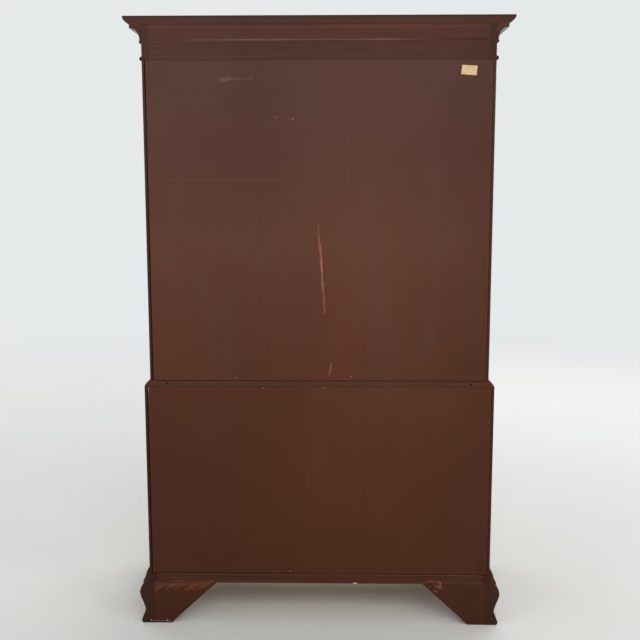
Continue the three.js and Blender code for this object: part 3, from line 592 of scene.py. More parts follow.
class Shape:
    """A closed solid, made by the cuts and joins that a cabinetmaker would use."""

    ARRIS: ClassVar[str] = "arris"
    CREASE: ClassVar[float] = math.radians(34)
    FLAT: ClassVar[float] = 0.0045  # a face this wide or wider is flat, and a narrower one is part of a curve
    ROUND: ClassVar[float] = 1.0  # so wide that every face is part of a curve
    UPRIGHT: ClassVar[float] = 0.999

    def __init__(self) -> None:
        """Starts an empty solid."""
        self.bm = bmesh.new()

    @property
    def arris(self) -> bmesh.types.BMLayerItem:
        """The faces' layer that says which are eased edges."""
        layers = self.bm.faces.layers.float
        return layers.get(self.ARRIS) or layers.new(self.ARRIS)

    @classmethod
    def skin(cls, rings: Sequence[Sequence[Vector]], flat: float = FLAT) -> "Shape":
        """Stretches a closed surface over rings of points.

        Args:
            rings: The rings, each with the same number of points.
            flat: Faces at least this wide are shaded flat.

        Returns:
            The solid, closed at both ends.
        """
        shape = cls()
        mark = shape.arris
        rows = [[shape.bm.verts.new(point) for point in ring] for ring in rings]
        for first, second in zip(rows, rows[1:]):
            for i, corner in enumerate(first):
                after = (i + 1) % len(first)
                face = shape.bm.faces.new((corner, first[after], second[after], second[i]))
                face.smooth = (corner.co - first[after].co).length < flat
                face[mark] = 0.0
        shape.bm.faces.new(rows[0][::-1])
        shape.bm.faces.new(rows[-1])
        bmesh.ops.remove_doubles(shape.bm, verts=shape.bm.verts, dist=TOUCH)
        bmesh.ops.recalc_face_normals(shape.bm, faces=shape.bm.faces)
        return shape

    @classmethod
    def block(cls, low: Sequence[float], high: Sequence[float]) -> "Shape":
        """A block between two corners, given in any order."""
        (x0, y0, z0), (x1, y1, z1) = low, high
        return cls.prism([(x0, y0), (x1, y0), (x1, y1), (x0, y1)], Axis.Z, z0, z1)

    @classmethod
    def prism(cls, outline: Sequence[Pair], axis: Axis, start: float, end: float) -> "Shape":
        """An outline, square to an axis, run along it between two places."""
        return cls.skin([[axis.place(point, along) for point in outline] for along in (start, end)])

    @classmethod
    def turned(cls, profile: Sequence[Pair], axis: Axis, sides: int = 32) -> "Shape":
        """A profile of radii and places along an axis through the origin, turned round it."""
        circles = ((arc((0.0, 0.0), (wide, wide), 0, 360, sides)[:-1], along) for wide, along in profile)
        return cls.skin([[axis.place(spot, along) for spot in circle] for circle, along in circles], cls.ROUND)

    @classmethod
    def bar(cls, line: Sequence[Vector], radii: Sequence[float], across: Vector, sides: int = 16) -> "Shape":
        """Bends a round bar along a line that lies in one plane.

        Args:
            line: The line's points.
            radii: The bar's radius at each point.
            across: The way square to the line's plane.
            sides: How many sides the bar has.

        Returns:
            The solid.
        """
        rings = []
        for before, point, after, radius in zip([line[0], *line], line, [*line[1:], line[-1]], radii):
            outward = (after - before).normalized().cross(across)
            turn = angles(0, 360, sides)[:-1]
            rings.append([point + radius * (math.cos(a) * outward + math.sin(a) * across) for a in turn])
        return cls.skin(rings, cls.ROUND)

    def loose(self, name: str) -> bpy.types.Mesh:
        """A mesh of the solid as it is now."""
        self.bm.to_mesh(made := bpy.data.meshes.new(name))
        return made

    def take(self, mesh: bpy.types.Mesh) -> None:
        """Adds a mesh to the solid, and does away with it."""
        self.bm.from_mesh(mesh)
        bpy.data.meshes.remove(mesh)

    def with_others(self, *others: "Shape") -> "Shape":
        """Adds other solids that don't touch this one.

        Args:
            others: The other solids.

        Returns:
            This solid.
        """
        for other in others:
            self.take(other.loose("loose"))
        return self

    def moved(self, by: Sequence[float]) -> "Shape":
        """Copies the solid to another place.

        Args:
            by: How far the copy is moved.

        Returns:
            The copy.
        """
        copy = Shape()
        copy.bm = self.bm.copy()
        bmesh.ops.translate(copy.bm, vec=Vector(by), verts=copy.bm.verts)
        return copy

    def cut(self, *tools: "Shape") -> "Shape":
        """Cuts tools out of this solid.

        Args:
            tools: The solids to take away.

        Returns:
            This solid.
        """
        body, *others = (stand("cut", shape.loose("cut")) for shape in (self, *tools))
        for other in others:
            carve = body.modifiers.new("carve", "BOOLEAN")
            carve.operation, carve.solver, carve.object = "DIFFERENCE", "EXACT", other
        whole = body.evaluated_get(bpy.context.evaluated_depsgraph_get())
        self.bm.clear()
        self.take(bpy.data.meshes.new_from_object(whole))
        for mesh in [helper.data for helper in (body, *others)]:
            bpy.data.meshes.remove(mesh)
        return self

    def eased(
        self, radius: float, steps: int = 2, where: Callable[[bmesh.types.BMEdge], bool] | None = None
    ) -> "Shape":
        """Takes the sharpness off edges.

        Args:
            radius: The rounding's radius.
            steps: How many faces the rounding has.
            where: Says which sharp edges are eased. Without it, those along the solid's outer box are.

        Returns:
            This solid.
        """
        box = [pick(vert.co[i] for vert in self.bm.verts) for i in range(3) for pick in (min, max)]

        def sides(vert: bmesh.types.BMVert) -> set[int]:
            """The sides of the box that a corner lies on."""
            return {side for side, place in enumerate(box) if abs(vert.co[side // 2] - place) < TOUCH}

        chosen = where or (lambda edge: len(sides(edge.verts[0]) & sides(edge.verts[1])) >= 2)
        sharp = [e for e in self.bm.edges if e.is_manifold and e.calc_face_angle(0.0) > self.CREASE and chosen(e)]
        mark = self.arris
        rounding = {"offset": radius, "offset_type": "OFFSET", "segments": steps, "profile": 0.5}
        made = bmesh.ops.bevel(self.bm, geom=sharp, affect="EDGES", clamp_overlap=True, **rounding)
        for face in made["faces"]:
            face[mark] = 1.0
            face.smooth = True
        return self

    def painted(self, number: int, where: Callable[[bmesh.types.BMFace], bool]) -> "Shape":
        """Gives some faces another of the piece's finishes.

        Args:
            number: The finish's number.
            where: Says which faces get it.

        Returns:
            This solid.
        """
        for face in filter(where, self.bm.faces):
            face.material_index = number
        return self

    def mesh(self, name: str) -> bpy.types.Mesh:
        """Makes the solid's last mesh, creased where its curves meet at an angle.

        Args:
            name: The mesh's name.

        Returns:
            The mesh.
        """
        for edge in self.bm.edges:
            if edge.is_manifold and edge.calc_face_angle(0.0) > self.CREASE:
                edge.smooth = False
        made = self.loose(name)
        self.bm.free()
        return made


def fit(
    name: str,
    shape: Shape,
    finishes: Finish | Sequence[Finish],
    node: str | None = None,
    body: str = "carcass",
) -> None:
    """Makes a piece that rides on one of the frame's bodies.

    Args:
        name: The piece's name.
        shape: Its solid, which is used up.
        finishes: Its finish, or its finishes by number.
        node: The frame's node that it stands for, if any.
        body: The body that it rides on.
    """
    coats = [finishes] if isinstance(finishes, Finish) else finishes
    piece = stand(name, shape.mesh(name))
    for coat in coats:
        piece.data.materials.append(coat.material())
    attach(piece, body)
    if node:
        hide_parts(node)
    LOG.info("%s: %d faces", name, len(piece.data.polygons))


@dataclass(frozen=True)
class Case:
    """One case's plan, read from the frame."""

    name: str
    half: float
    front: float
    back: float
    board: float  # how thick its boards are
    inner: float  # where its back panel's inner face is
    reveal: ClassVar[float] = 0.0014

    @classmethod
    def read(cls) -> tuple["Case", "Case"]:
        """Reads both cases' plans.

        Returns:
            The upper case and the lower one.
        """
        side_low, side_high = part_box("lower_side_right")
        divider_low, divider_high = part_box("small_drawer_divider")
        board = divider_high.x * 2
        shared = (side_high.y, board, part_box("upper_back_panel")[0].y)
        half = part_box("upper_drawer_1_front")[1].x + cls.reveal + board
        return cls("upper", half, divider_low.y, *shared), cls("lower", side_high.x, side_low.y, *shared)


@dataclass
class Joinery:
    """A sub-assembly that is made to the two cases' sizes."""

    upper: Case
    lower: Case


def room(node: str, gap: Triple) -> Shape:
    """The space that a node takes, with a gap round it on each axis."""
    low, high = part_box(node)
    return Shape.block(low - Vector(gap), high + Vector(gap))


UPPER_FRAMES = tuple(f"upper_dust_frame_{i}" for i in (1, 2, 3))
# The back's stain by level; its darkening towards the bottom is partly painted shade
UPPER_TONES = tones((0.80, 81, 43, 28), (1.15, 88, 51, 38), (1.40, 79, 47, 37), (1.62, 76, 46, 39))
LOWER_TONES = tones((0.15, 69, 35, 18), (0.45, 75, 38, 21), (0.70, 79, 42, 26))
# Painted light and shade across the boards: factors on the stain's red, green and blue along X
UPPER_PAINTED_LIGHT = (
    *((-0.47, 0.84, 0.83, 0.81), (-0.40, 0.90, 0.89, 0.87), (-0.27, 0.99, 0.97, 0.95), (-0.08, 1.10, 1.08, 1.08)),
    *((0.03, 1.03, 1.03, 1.05), (0.20, 0.94, 0.96, 0.99), (0.47, 1.03, 1.06, 1.12)),
)
LOWER_PAINTED_LIGHT = (
    *((-0.48, 0.89, 0.89, 0.87), (-0.41, 0.98, 0.98, 0.97), (-0.28, 1.08, 1.10, 1.08)),
    *((0.02, 1.04, 1.05, 1.02), (0.13, 0.94, 0.95, 0.93), (0.48, 0.92, 0.92, 0.91)),
)
FRIEZE_PAINTED_LIGHT = (
    *((-0.45, 0.90, 0.80, 0.72), (-0.38, 0.98, 0.86, 0.78), (-0.24, 1.05, 0.95, 0.88), (-0.10, 1.08, 1.02, 0.94)),
    *((0.04, 0.99, 0.98, 1.00), (0.25, 1.01, 1.02, 1.12), (0.32, 1.05, 1.10, 1.24), (0.39, 1.16, 1.28, 1.40)),
    (0.46, 1.24, 1.32, 1.44),
)
# Painted shade: the near-black faces inside the panels' rebates
REBATE_SHADE_TONES = tones((0.10, 30, 14, 9), (0.72, 30, 15, 10), (0.80, 44, 24, 16), (1.66, 40, 22, 15))
LIP_TONES = {
    -1: tones((0.10, 50, 27, 19), (0.75, 60, 34, 24), (1.62, 66, 38, 27), (1.67, 49, 20, 9)),
    1: tones((0.10, 50, 25, 17), (0.75, 58, 31, 24), (1.62, 62, 38, 33), (1.67, 61, 36, 28)),
}
SCRATCH = screen(158, 104, 72)
PALE_SCRATCH = screen(150, 104, 82)
CHALK = screen(112, 96, 82)
ORANGE_WEAR = screen(122, 62, 34)
RED_SCRATCH = screen(146, 88, 62)
DULL_SCRATCH = screen(136, 92, 66)
BROWN_WEAR = screen(112, 60, 30)
RUBBED = screen(108, 66, 52)
PINK_WEAR = screen(140, 84, 66)
# Painted shade: the dark lines in the seams between boards and in the rail's nail holes
SEAM_SHADE = screen(34, 15, 9)
PINK_CHIP = screen(168, 132, 124)
CHIP = screen(205, 190, 178)
LIP_MARKS = marks(
    (0.4996, 0.7300, 0.4998, 0.7050, 0.0022, ORANGE_WEAR, 0.6, 0.9, (200.0, 45.0), 0.0, 0.5),
    (0.4990, 0.7275, 0.4990, 0.7245, 0.0034, SCRATCH, 0.85, 0.3),
    (0.4992, 0.7220, 0.4994, 0.7130, 0.0030, PALE_SCRATCH, 0.8, 0.6, (200.0, 90.0)),
    (0.4990, 0.7045, 0.4990, 0.7025, 0.0024, SCRATCH, 0.7, 0.3),
    (0.4990, 0.6905, 0.4990, 0.6895, 0.0024, SCRATCH, 0.6, 0.3),
)
UPPER_LIP_MARKS = marks(
    (-0.4855, 1.3234, -0.4855, 1.3214, 0.0020, ORANGE_WEAR, 0.9, 0.3),
    (0.4840, 1.4650, 0.4840, 1.4625, 0.0018, PALE_SCRATCH, 0.9, 0.2),
)
FINE = Mark.pace  # how fine the rim of most marks is
UPPER_MARKS = marks(
    (0.0010, 1.2020, -0.0005, 1.1672, 0.0030, SCRATCH, 0.3, 0.6, FINE, 0.3, 0.5),
    (-0.0005, 1.1690, -0.0045, 1.1261, 0.0044, RED_SCRATCH, 0.6, 0.5, FINE, 0.6, 0.5),
    (-0.0040, 1.1440, -0.0083, 1.0721, 0.0056, RED_SCRATCH, 0.7, 0.45, FINE, 1.0, 0.5),
    (-0.0068, 1.1010, -0.0115, 1.0273, 0.0050, SCRATCH, 0.6, 0.5, FINE, 1.0, 0.5),
    (-0.0110, 1.0350, -0.0160, 0.9830, 0.0044, DULL_SCRATCH, 0.6, 0.5, FINE, 0.7, 0.5),
    (-0.0150, 0.9900, -0.0171, 0.9490, 0.0040, DULL_SCRATCH, 0.6, 0.45, FINE, 0.5, 0.5),
    (-0.0366, 0.8049, -0.0330, 0.7840, 0.0022, PALE_SCRATCH, 0.55, 0.6, FINE, 0.4),
    (-0.0330, 0.7840, -0.0300, 0.7690, 0.0034, PALE_SCRATCH, 0.6, 0.9, FINE, 0.5),
    (0.2700, 1.6050, 0.2520, 1.6060, 0.0100, CHALK, 0.34, 1.3, (110.0, 150.0)),
    (0.2520, 1.6090, 0.2390, 1.6095, 0.0080, CHALK, 0.24, 1.3, (130.0, 170.0)),
    (0.2360, 1.6068, 0.1860, 1.6062, 0.0030, CHALK, 0.25, 0.8, (90.0, 200.0)),
    (0.1895, 1.6130, 0.1860, 1.6150, 0.0050, CHALK, 0.2, 0.9),
    (0.1191, 1.5025, 0.1201, 1.5021, 0.0060, PINK_CHIP, 0.18, 0.8, FINE, 0.0, 1.0),
    (0.0828, 1.5000, 0.0830, 1.5004, 0.0030, PINK_CHIP, 0.25, 0.6, FINE, 0.0, 0.5),
    (0.0732, 1.4978, 0.0722, 1.4970, 0.0032, PINK_CHIP, 0.6, 0.5, FINE, 0.4, 0.5),
    (0.0207, 1.6125, 0.0207, 1.6105, 0.0026, CHALK, 0.55, 0.6),
    (0.4342, 1.3298, 0.1024, 1.3295, 0.0030, screen(104, 66, 54), 0.4, 0.6, (5.0, 300.0)),
    # painted shade along the seam over the waist board
    (0.4790, 0.7520, -0.4790, 0.7520, 0.0016, SEAM_SHADE, 0.08, 0.6, (9.0, 90.0)),
    # painted highlight along the panel's top edge under the frieze rail
    (0.4790, 1.6555, -0.4790, 1.6555, 0.0016, screen(112, 82, 74), 0.2, 0.6, (9.0, 90.0), 0.0, 0.5),
    (-0.3410, 1.6510, -0.3410, 1.6500, 0.0030, screen(120, 86, 78), 0.5, 0.4),
)
LOWER_MARKS = LIP_MARKS + marks(
    # painted shade along the seams over the waist board and over the base rail
    (0.4990, 0.7315, -0.4990, 0.7315, 0.0016, SEAM_SHADE, 0.3, 0.6, (9.0, 90.0)),
    (0.4990, 0.1605, 0.0200, 0.1605, 0.0026, SEAM_SHADE, 0.5, 0.4, (9.0, 90.0), 0.0, 0.0, 0.2),
)
WAIST_MARKS = marks(
    (0.4816, 0.7482, 0.4804, 0.7476, 0.0034, screen(128, 108, 96), 0.7, 0.4),
    # painted shade along the seam at the waist board's top
    (0.4700, 0.7490, 0.2300, 0.7488, 0.0016, SEAM_SHADE, 0.3, 0.9, (60.0, 200.0), 0.0, 0.0, 0.2),
)
CLEAT_MARKS = marks(
    # painted highlights along the cleat's lower rounded edge and just under the cap, then painted shade in the seam
    # under the cap
    (0.4700, 1.7125, -0.4300, 1.7125, 0.0028, screen(118, 86, 76), 0.85, 0.3, (8.0, 60.0), 0.0, 0.0, 0.3),
    (0.4700, 1.7480, -0.4700, 1.7480, 0.0036, screen(100, 62, 48), 0.3, 0.7, (9.0, 60.0), 0.0, 0.5),
    (0.4700, 1.7550, -0.4700, 1.7550, 0.0022, SEAM_SHADE, 0.4, 0.7, (9.0, 60.0), 0.0, 0.0, 0.1),
)
FOOT_MARKS = marks(
    (0.5000, 0.1000, 0.4741, 0.1190, 0.0080, BROWN_WEAR, 0.5, 0.7, (60.0, 90.0), 0.0, 1.0),
    (0.4600, 0.1090, 0.4300, 0.1275, 0.0070, RUBBED, 0.5, 0.7, (60.0, 90.0), 0.0, 1.0),
    (0.4350, 0.1080, 0.4140, 0.1210, 0.0070, BROWN_WEAR, 0.3, 0.7, (60.0, 90.0), 0.0, 1.0),
    (0.4000, 0.1060, 0.3640, 0.1260, 0.0090, BROWN_WEAR, 0.55, 0.8, (60.0, 90.0), 0.0, 1.0),
    (0.3760, 0.1040, 0.3560, 0.1160, 0.0080, BROWN_WEAR, 0.4, 0.8, (60.0, 90.0), 0.0, 1.0),
    (0.3480, 0.1180, 0.3200, 0.1320, 0.0080, RUBBED, 0.5, 0.8, (60.0, 90.0), 0.0, 1.0),
    (0.4900, 0.1240, 0.3400, 0.1260, 0.0120, RUBBED, 0.35, 1.2, (26.0, 170.0), 0.0, 1.0),
    (-0.3200, 0.1345, -0.3385, 0.1385, 0.0060, ORANGE_WEAR, 0.6, 1.2, (200.0, 260.0), 0.0, 0.8),
    (-0.3480, 0.1370, -0.3620, 0.1310, 0.0056, ORANGE_WEAR, 0.4, 1.2, (210.0, 210.0), 0.0, 0.8),
    (-0.3630, 0.1350, -0.3630, 0.1160, 0.0060, PINK_WEAR, 0.6, 1.0, (210.0, 210.0), 0.0, 0.8),
    (-0.3500, 0.1220, -0.3610, 0.1190, 0.0060, PINK_WEAR, 0.45, 1.2, (230.0, 230.0), 0.0, 0.8),
    (-0.3450, 0.1080, -0.3540, 0.1060, 0.0056, PINK_WEAR, 0.4, 1.2, (210.0, 230.0), 0.0, 0.8),
    (0.4610, 0.0080, 0.4595, 0.0080, 0.0024, CHIP, 0.6, 0.5),
    (0.5095, 0.0090, 0.5085, 0.0086, 0.0024, CHIP, 0.6, 0.5),
    (0.5080, 0.0060, 0.4500, 0.0056, 0.0012, CHIP, 0.25, 0.7, (40.0, 200.0)),
    # painted shade in the base rail's two nail holes
    (0.4855, 0.1441, 0.4853, 0.1439, 0.0042, SEAM_SHADE, 0.8, 0.4),
    (-0.4863, 0.1443, -0.4861, 0.1441, 0.0048, SEAM_SHADE, 0.8, 0.4),
    (-0.4855, 0.1380, -0.4840, 0.1200, 0.0030, screen(84, 34, 28), 0.4, 0.9, (60.0, 30.0)),
)
RAIL_MARKS = marks(
    (-0.1040, 0.1302, -0.1120, 0.1300, 0.0030, CHIP, 0.95, 0.4),
    # painted highlight along the rail's top edge
    (0.4750, 0.1562, -0.4750, 0.1562, 0.0017, screen(104, 68, 54), 0.6, 0.6, (10.0, 60.0)),
)
SHADED_WOOD = BareWood("dust_wood", Axis.Z, screen(84, 58, 36), screen(128, 96, 62))


@dataclass
class CaseSides(Joinery):
    """The four sides of the two cases, with the dados and rebates that hold the other boards."""

    arris: float = 0.0011
    rebate: float = 0.007

    def build(self) -> None:
        """Builds all four sides."""
        for side, hand in HANDS:
            self.side(self.upper, side, hand, ("upper_bottom_board", *UPPER_FRAMES), UPPER_LIP_MARKS)
            self.side(self.lower, side, hand, ("lower_bottom_board", "lower_dust_frame"), LIP_MARKS)

    def side(self, case: Case, side: str, hand: int, held: Sequence[str], lip_marks: tuple[Mark, ...]) -> None:
        """Builds one side.

        Args:
            case: The case that it belongs to.
            side: Left or right.
            hand: -1 for left and 1 for right.
            held: The nodes whose ends it holds.
            lip_marks: The marks on its edge at the back.
        """
        node = f"{case.name}_side_{side}"
        low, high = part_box(node)
        shape = Shape.block((hand * (case.half - case.board), case.front, low.z), (hand * case.half, case.back, high.z))
        if case is self.upper:
            bottom, top = low.z - OVERRUN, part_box("upper_back_panel")[1].z + FIT
        else:
            bottom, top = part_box("base_rail_back")[1].z, high.z + OVERRUN
        inner = (hand * (case.half - case.board - OVERRUN), case.inner - FIT, bottom)
        tools = [Shape.block(inner, (hand * (case.half - self.rebate), case.back + OVERRUN, top))]
        tools += [room(name, (FIT, OVERRUN, FIT)) for name in held]
        if case is self.upper:
            reach = case.half + OVERRUN
            rail = (-reach, case.front - OVERRUN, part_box("frieze_rail_front")[0].z - FIT)
            tools.append(Shape.block(rail, (reach, case.front + case.board + FIT, high.z + OVERRUN)))
        shape.cut(*tools).eased(self.arris).painted(1, backward).painted(2, self.in_rebate)
        lip = StainedBack(LIP_TONES[hand], roughness=0.42, marks=lip_marks)
        # the third finish is painted shade inside the panel's rebate
        fit(node, shape, (Mahogany(Axis.Z, 0.5, hand * 2.0), lip, StainedBack(REBATE_SHADE_TONES, roughness=0.8)), node)

    def in_rebate(self, face: bmesh.types.BMFace) -> bool:
        """Finds the faces inside a panel's rebate, which are painted near black as shade.

        Args:
            face: A side's face.

        Returns:
            Whether it is one of them.
        """
        centre = face.calc_center_median()
        if face.normal.z >= 0.5 or not self.upper.inner - 2 * FIT < centre.y < self.upper.back - self.arris:
            return False
        at_lip = all(abs(abs(centre.x) - case.half) > FIT for case in (self.upper, self.lower))
        return face.normal.y > 0.5 or abs(face.normal.x) > SQUARELY and at_lip


@dataclass
class InnerBoards(Joinery):
    """The boards and dust frames that tie the sides together and carry the drawers."""

    facing: float = 0.006
    rail: float = 0.060
    panel: float = 0.006

    def build(self) -> None:
        """Builds the bottom boards, the dust frames and the divider."""
        for node in ("upper_bottom_board", "lower_bottom_board"):
            self.face(node)
            low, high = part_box(node)
            board = Shape.block((low.x, low.y + self.facing + FIT / 3, low.z), high).eased(SOFT_EDGE)
            fit(node + "_core", board, BareWood("dust_wood", Axis.X, shift=low.z), node)
        for node in (*UPPER_FRAMES, "lower_dust_frame"):
            self.frame(node, node == UPPER_FRAMES[0])
        divider = Shape.block(*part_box("small_drawer_divider")).eased(SOFT_EDGE)
        fit("small_drawer_divider", divider, Mahogany(Axis.Z), "small_drawer_divider")

    def face(self, node: str) -> None:
        """Faces a board's front edge with mahogany.

        Args:
            node: The board's name.
        """
        low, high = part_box(node)
        strip = Shape.block(low, (high.x, low.y + self.facing, high.z)).eased(SOFT_EDGE)
        fit(node + "_facing", strip, Mahogany(Axis.X, shift=low.z))

    def frame(self, node: str, halved: bool) -> None:
        """Builds a dust frame of rails, runners and thin panels.

        Args:
            node: The frame's name.
            halved: Whether a runner in the middle makes two panels of its panel.
        """
        self.face(node)
        low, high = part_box(node)
        case = self.upper if node in UPPER_FRAMES else self.lower
        inner, centre = case.half - case.board - self.rail, self.rail / 2
        near, far = low.y + self.rail + FIT / 2, high.y - self.rail - FIT / 2
        rails = Shape.block((low.x, low.y + self.facing + FIT / 3, low.z), (high.x, low.y + self.rail, high.z))
        rails.with_others(Shape.block((low.x, high.y - self.rail, low.z), high))
        for start, end in ((low.x, -inner), (inner, high.x), *([(-centre, centre)] if halved else [])):
            rails.with_others(Shape.block((start, near, low.z), (end, far, high.z)))
        rails.eased(SOFT_EDGE, where=lambda edge: edge.calc_length() > centre)
        fit(node + "_rails", rails, BareWood("dust_wood", Axis.X, shift=low.z), node)
        middle = (low.z + high.z) / 2
        bottom, top = middle - self.panel / 2, middle + self.panel / 2
        first, *others = (
            Shape.block((start + FIT / 2, near, bottom), (end - FIT / 2, far, top))
            for start, end in (((-inner, -centre), (centre, inner)) if halved else ((-inner, inner),))
        )
        pale = BareWood("dust_wood", Axis.Y, light=screen(206, 176, 130), shift=low.z)
        fit(node + "_panel", first.with_others(*others), pale)


@dataclass
class Back(Joinery):
    """The back's panels and rails, with their nails and paper tag."""

    rail_step: float = 0.002
    rail_arris: float = 0.0013
    cleat_height: float = 0.0437
    cleat_round: float = 0.0026
    arris: float = 0.0008
    hole: float = 0.0018
    hole_inset: float = 0.005
    hole_depth: float = 0.012
    nail: float = 0.0017
    dome: tuple[Pair, ...] = (  # its points, as shares of the head's radius and as levels over the panel
        *((0.0, 0.00025), (0.6, 0.0002), (1.0, 0.00005), (1.0, -0.001), (0.0, -0.001)),
    )
    brads: tuple[Triple, ...] = (  # each brad's X and Z, and the share of its head that the stain leaves bare
        *((0.3781, 0.7607, 0.55), (0.2417, 0.7604, 0.85), (0.0740, 0.7554, 0.65), (-0.0940, 0.7624, 1.0)),
        *((0.1625, 0.7282, 1.05), (-0.0163, 0.7285, 1.1), (0.1346, 0.1634, 0.95), (0.0867, 0.1663, 1.1)),
        *((-0.1344, 0.1692, 0.6), (-0.2030, 0.1663, 0.5)),
    )
    tag_corners: tuple[Pair, ...] = ((-0.3977, 1.6432), (-0.4400, 1.6409), (-0.4382, 1.6151), (-0.3950, 1.6179))
    tag_steps: int = 14
    tag_thickness: float = 0.0003
    tag_gap: float = 0.0001
    tag_lift: float = 0.0004
    tag_ripple: float = 0.00012

    def build(self) -> None:
        """Builds the back."""
        upper = StainedBack(UPPER_TONES, marks=UPPER_MARKS, across=UPPER_PAINTED_LIGHT)
        lower = StainedBack(LOWER_TONES, haze_and_sheen=screen(88, 54, 40), marks=LOWER_MARKS, across=LOWER_PAINTED_LIGHT)
        for node, finish in (("upper_back_panel", upper), ("lower_back_panel", lower)):
            fit(node, Shape.block(*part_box(node)).eased(self.arris / 2), finish, node)
        self.frieze_rail()
        self.base_rail()
        self.nails()
        self.tag()

    def frieze_rail(self) -> None:
        """Builds the rail above the upper panel, with its proud cleat band."""
        low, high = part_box("frieze_rail_back")
        face, cleat, half = self.upper.back - self.rail_step, high.z - self.cleat_height, self.arris / 2
        outline = [
            (low.y, low.z),
            *arc((face - half, low.z + half), (half, half), -90, 0, 3),
            (face, cleat),
            *arc((face, cleat + self.cleat_round), (self.rail_step, self.cleat_round), -90, 0, 6)[1:],
            *arc((self.upper.back - self.arris, high.z - self.arris), (self.arris, self.arris), 0, 90, 3),
            (low.y, high.z),
        ]
        stain = tones((1.68, 66, 36, 28), (1.71, 66, 35, 26), (1.72, 69, 37, 27))
        finish = StainedBack(stain, Axis.X, 0.34, marks=CLEAT_MARKS, across=FRIEZE_PAINTED_LIGHT, lines=0.9)
        fit("frieze_rail_back", Shape.prism(outline, Axis.X, low.x, high.x), finish, "frieze_rail_back")

    def base_rail(self) -> None:
        """Builds the rail under the lower panel, with a nail hole near each end."""
        low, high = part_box("base_rail_back")
        hole = Shape.turned([(self.hole, -self.hole_depth), (self.hole, OVERRUN)], Axis.Y, 20)
        places = (low.x + self.hole_inset, high.x - self.hole_inset)
        holes = [hole.moved((x, high.y, (low.z + high.z) / 2)) for x in places]
        stain = tones((0.13, 70, 37, 23), (0.15, 66, 34, 20))
        finish = StainedBack(stain, Axis.X, marks=RAIL_MARKS + FOOT_MARKS, lines=1.1)
        fit("base_rail_back", Shape.block(low, high).eased(self.rail_arris).cut(*holes), finish, "base_rail_back")

    def nails(self) -> None:
        """Sets the brads that hold the panels, their heads filled with wax."""
        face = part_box("upper_back_panel")[1].y
        heads = []
        for x, z, share in self.brads:
            dome = [(self.nail * share * out, rise) for out, rise in self.dome]
            heads.append(Shape.turned(dome, Axis.Y, 16).moved((x, face, z)))
        fit("back_brads", heads[0].with_others(*heads[1:]), NailFiller())

    def tag(self) -> None:
        """Sticks on the blank paper tag, a little creased, with one corner lifting."""
        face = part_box("upper_back_panel")[1].y
        corners = [Axis.Y.place(corner, 0.0) for corner in self.tag_corners]
        shares = [i / self.tag_steps for i in range(self.tag_steps + 1)]
        rings = []
        for across in shares:
            upper, lower = corners[0].lerp(corners[1], across), corners[3].lerp(corners[2], across)
            row = []
            for down in shares:
                lift = self.tag_lift * max(0.0, down - across) ** 2
                ripple = self.tag_ripple * (1 + math.sin(9 * across + 4 * down))
                row.append(upper.lerp(lower, down) + Vector((0.0, face + self.tag_gap + lift + ripple, 0.0)))
            drop = Vector((0.0, self.tag_thickness, 0.0))
            rings.append([*row, *(point + drop for point in reversed(row))])
        fit("paper_tag", Shape.skin(rings, Shape.ROUND), TagPaper())


def layers(profile: Sequence[Triple], case: Case) -> Shape:
    """Piles up a board's plan outlines, one for each level of its moulded edge.

    Args:
        profile: For each level, how far the edge stands out at the front and sides, how far the
            back edge is drawn in, and the level.
        case: The case that the board lies on.

    Returns:
        The board.
    """
    rings = []
    for out, drawn, level in profile:
        x, y0, y1 = case.half + out, case.front - out, case.back - drawn
        rings.append([Vector((*corner, level)) for corner in ((-x, y0), (x, y0), (x, y1), (-x, y1))])
    shape = Shape.skin(rings)
    for face in shape.bm.faces:
        levels = [vert.co.z for vert in face.verts]
        face.smooth = 0 < max(levels) - min(levels) < Shape.FLAT and abs(face.normal.y) < Shape.UPRIGHT
    return shape


def lengths(
    name: str,
    profile: Sequence[Pair],
    case: Case,
    ends: Finish,
    shifts: Triple,
    node: str | None = None,
    drawn: float = MITRE,
) -> None:
    """Runs a moulding round the sides and front, as three lengths that are mitred at the corners.

    Args:
        name: The moulding's name.
        profile: Its section: how far out from the case, and the level.
        case: The case that it runs round.
        ends: The finish of its sawn ends at the back.
        shifts: How far the grain's pattern is moved in the front, left and right lengths.
        node: The node that it stands for, if any.
        drawn: How far the front length's ends are drawn in.
    """
    corner = case.half - drawn
    rings = [[Vector((hand * (corner + out), case.front - out, z)) for out, z in profile] for _, hand in HANDS]
    fit(f"{name}_front", Shape.skin(rings), Mahogany(Axis.X, shift=shifts[0]), node)
    for (side, hand), shift in zip(HANDS, shifts[1:]):
        start = [Vector((hand * (case.half + out), case.front - out + MITRE, z)) for out, z in profile]
        end = [Vector((hand * (case.half + out), case.back, z)) for out, z in profile]
        shape = Shape.skin([start, end]).painted(1, backward)
        fit(f"{name}_{side}", shape, (Mahogany(Axis.Y, shift=shift), ends), node)


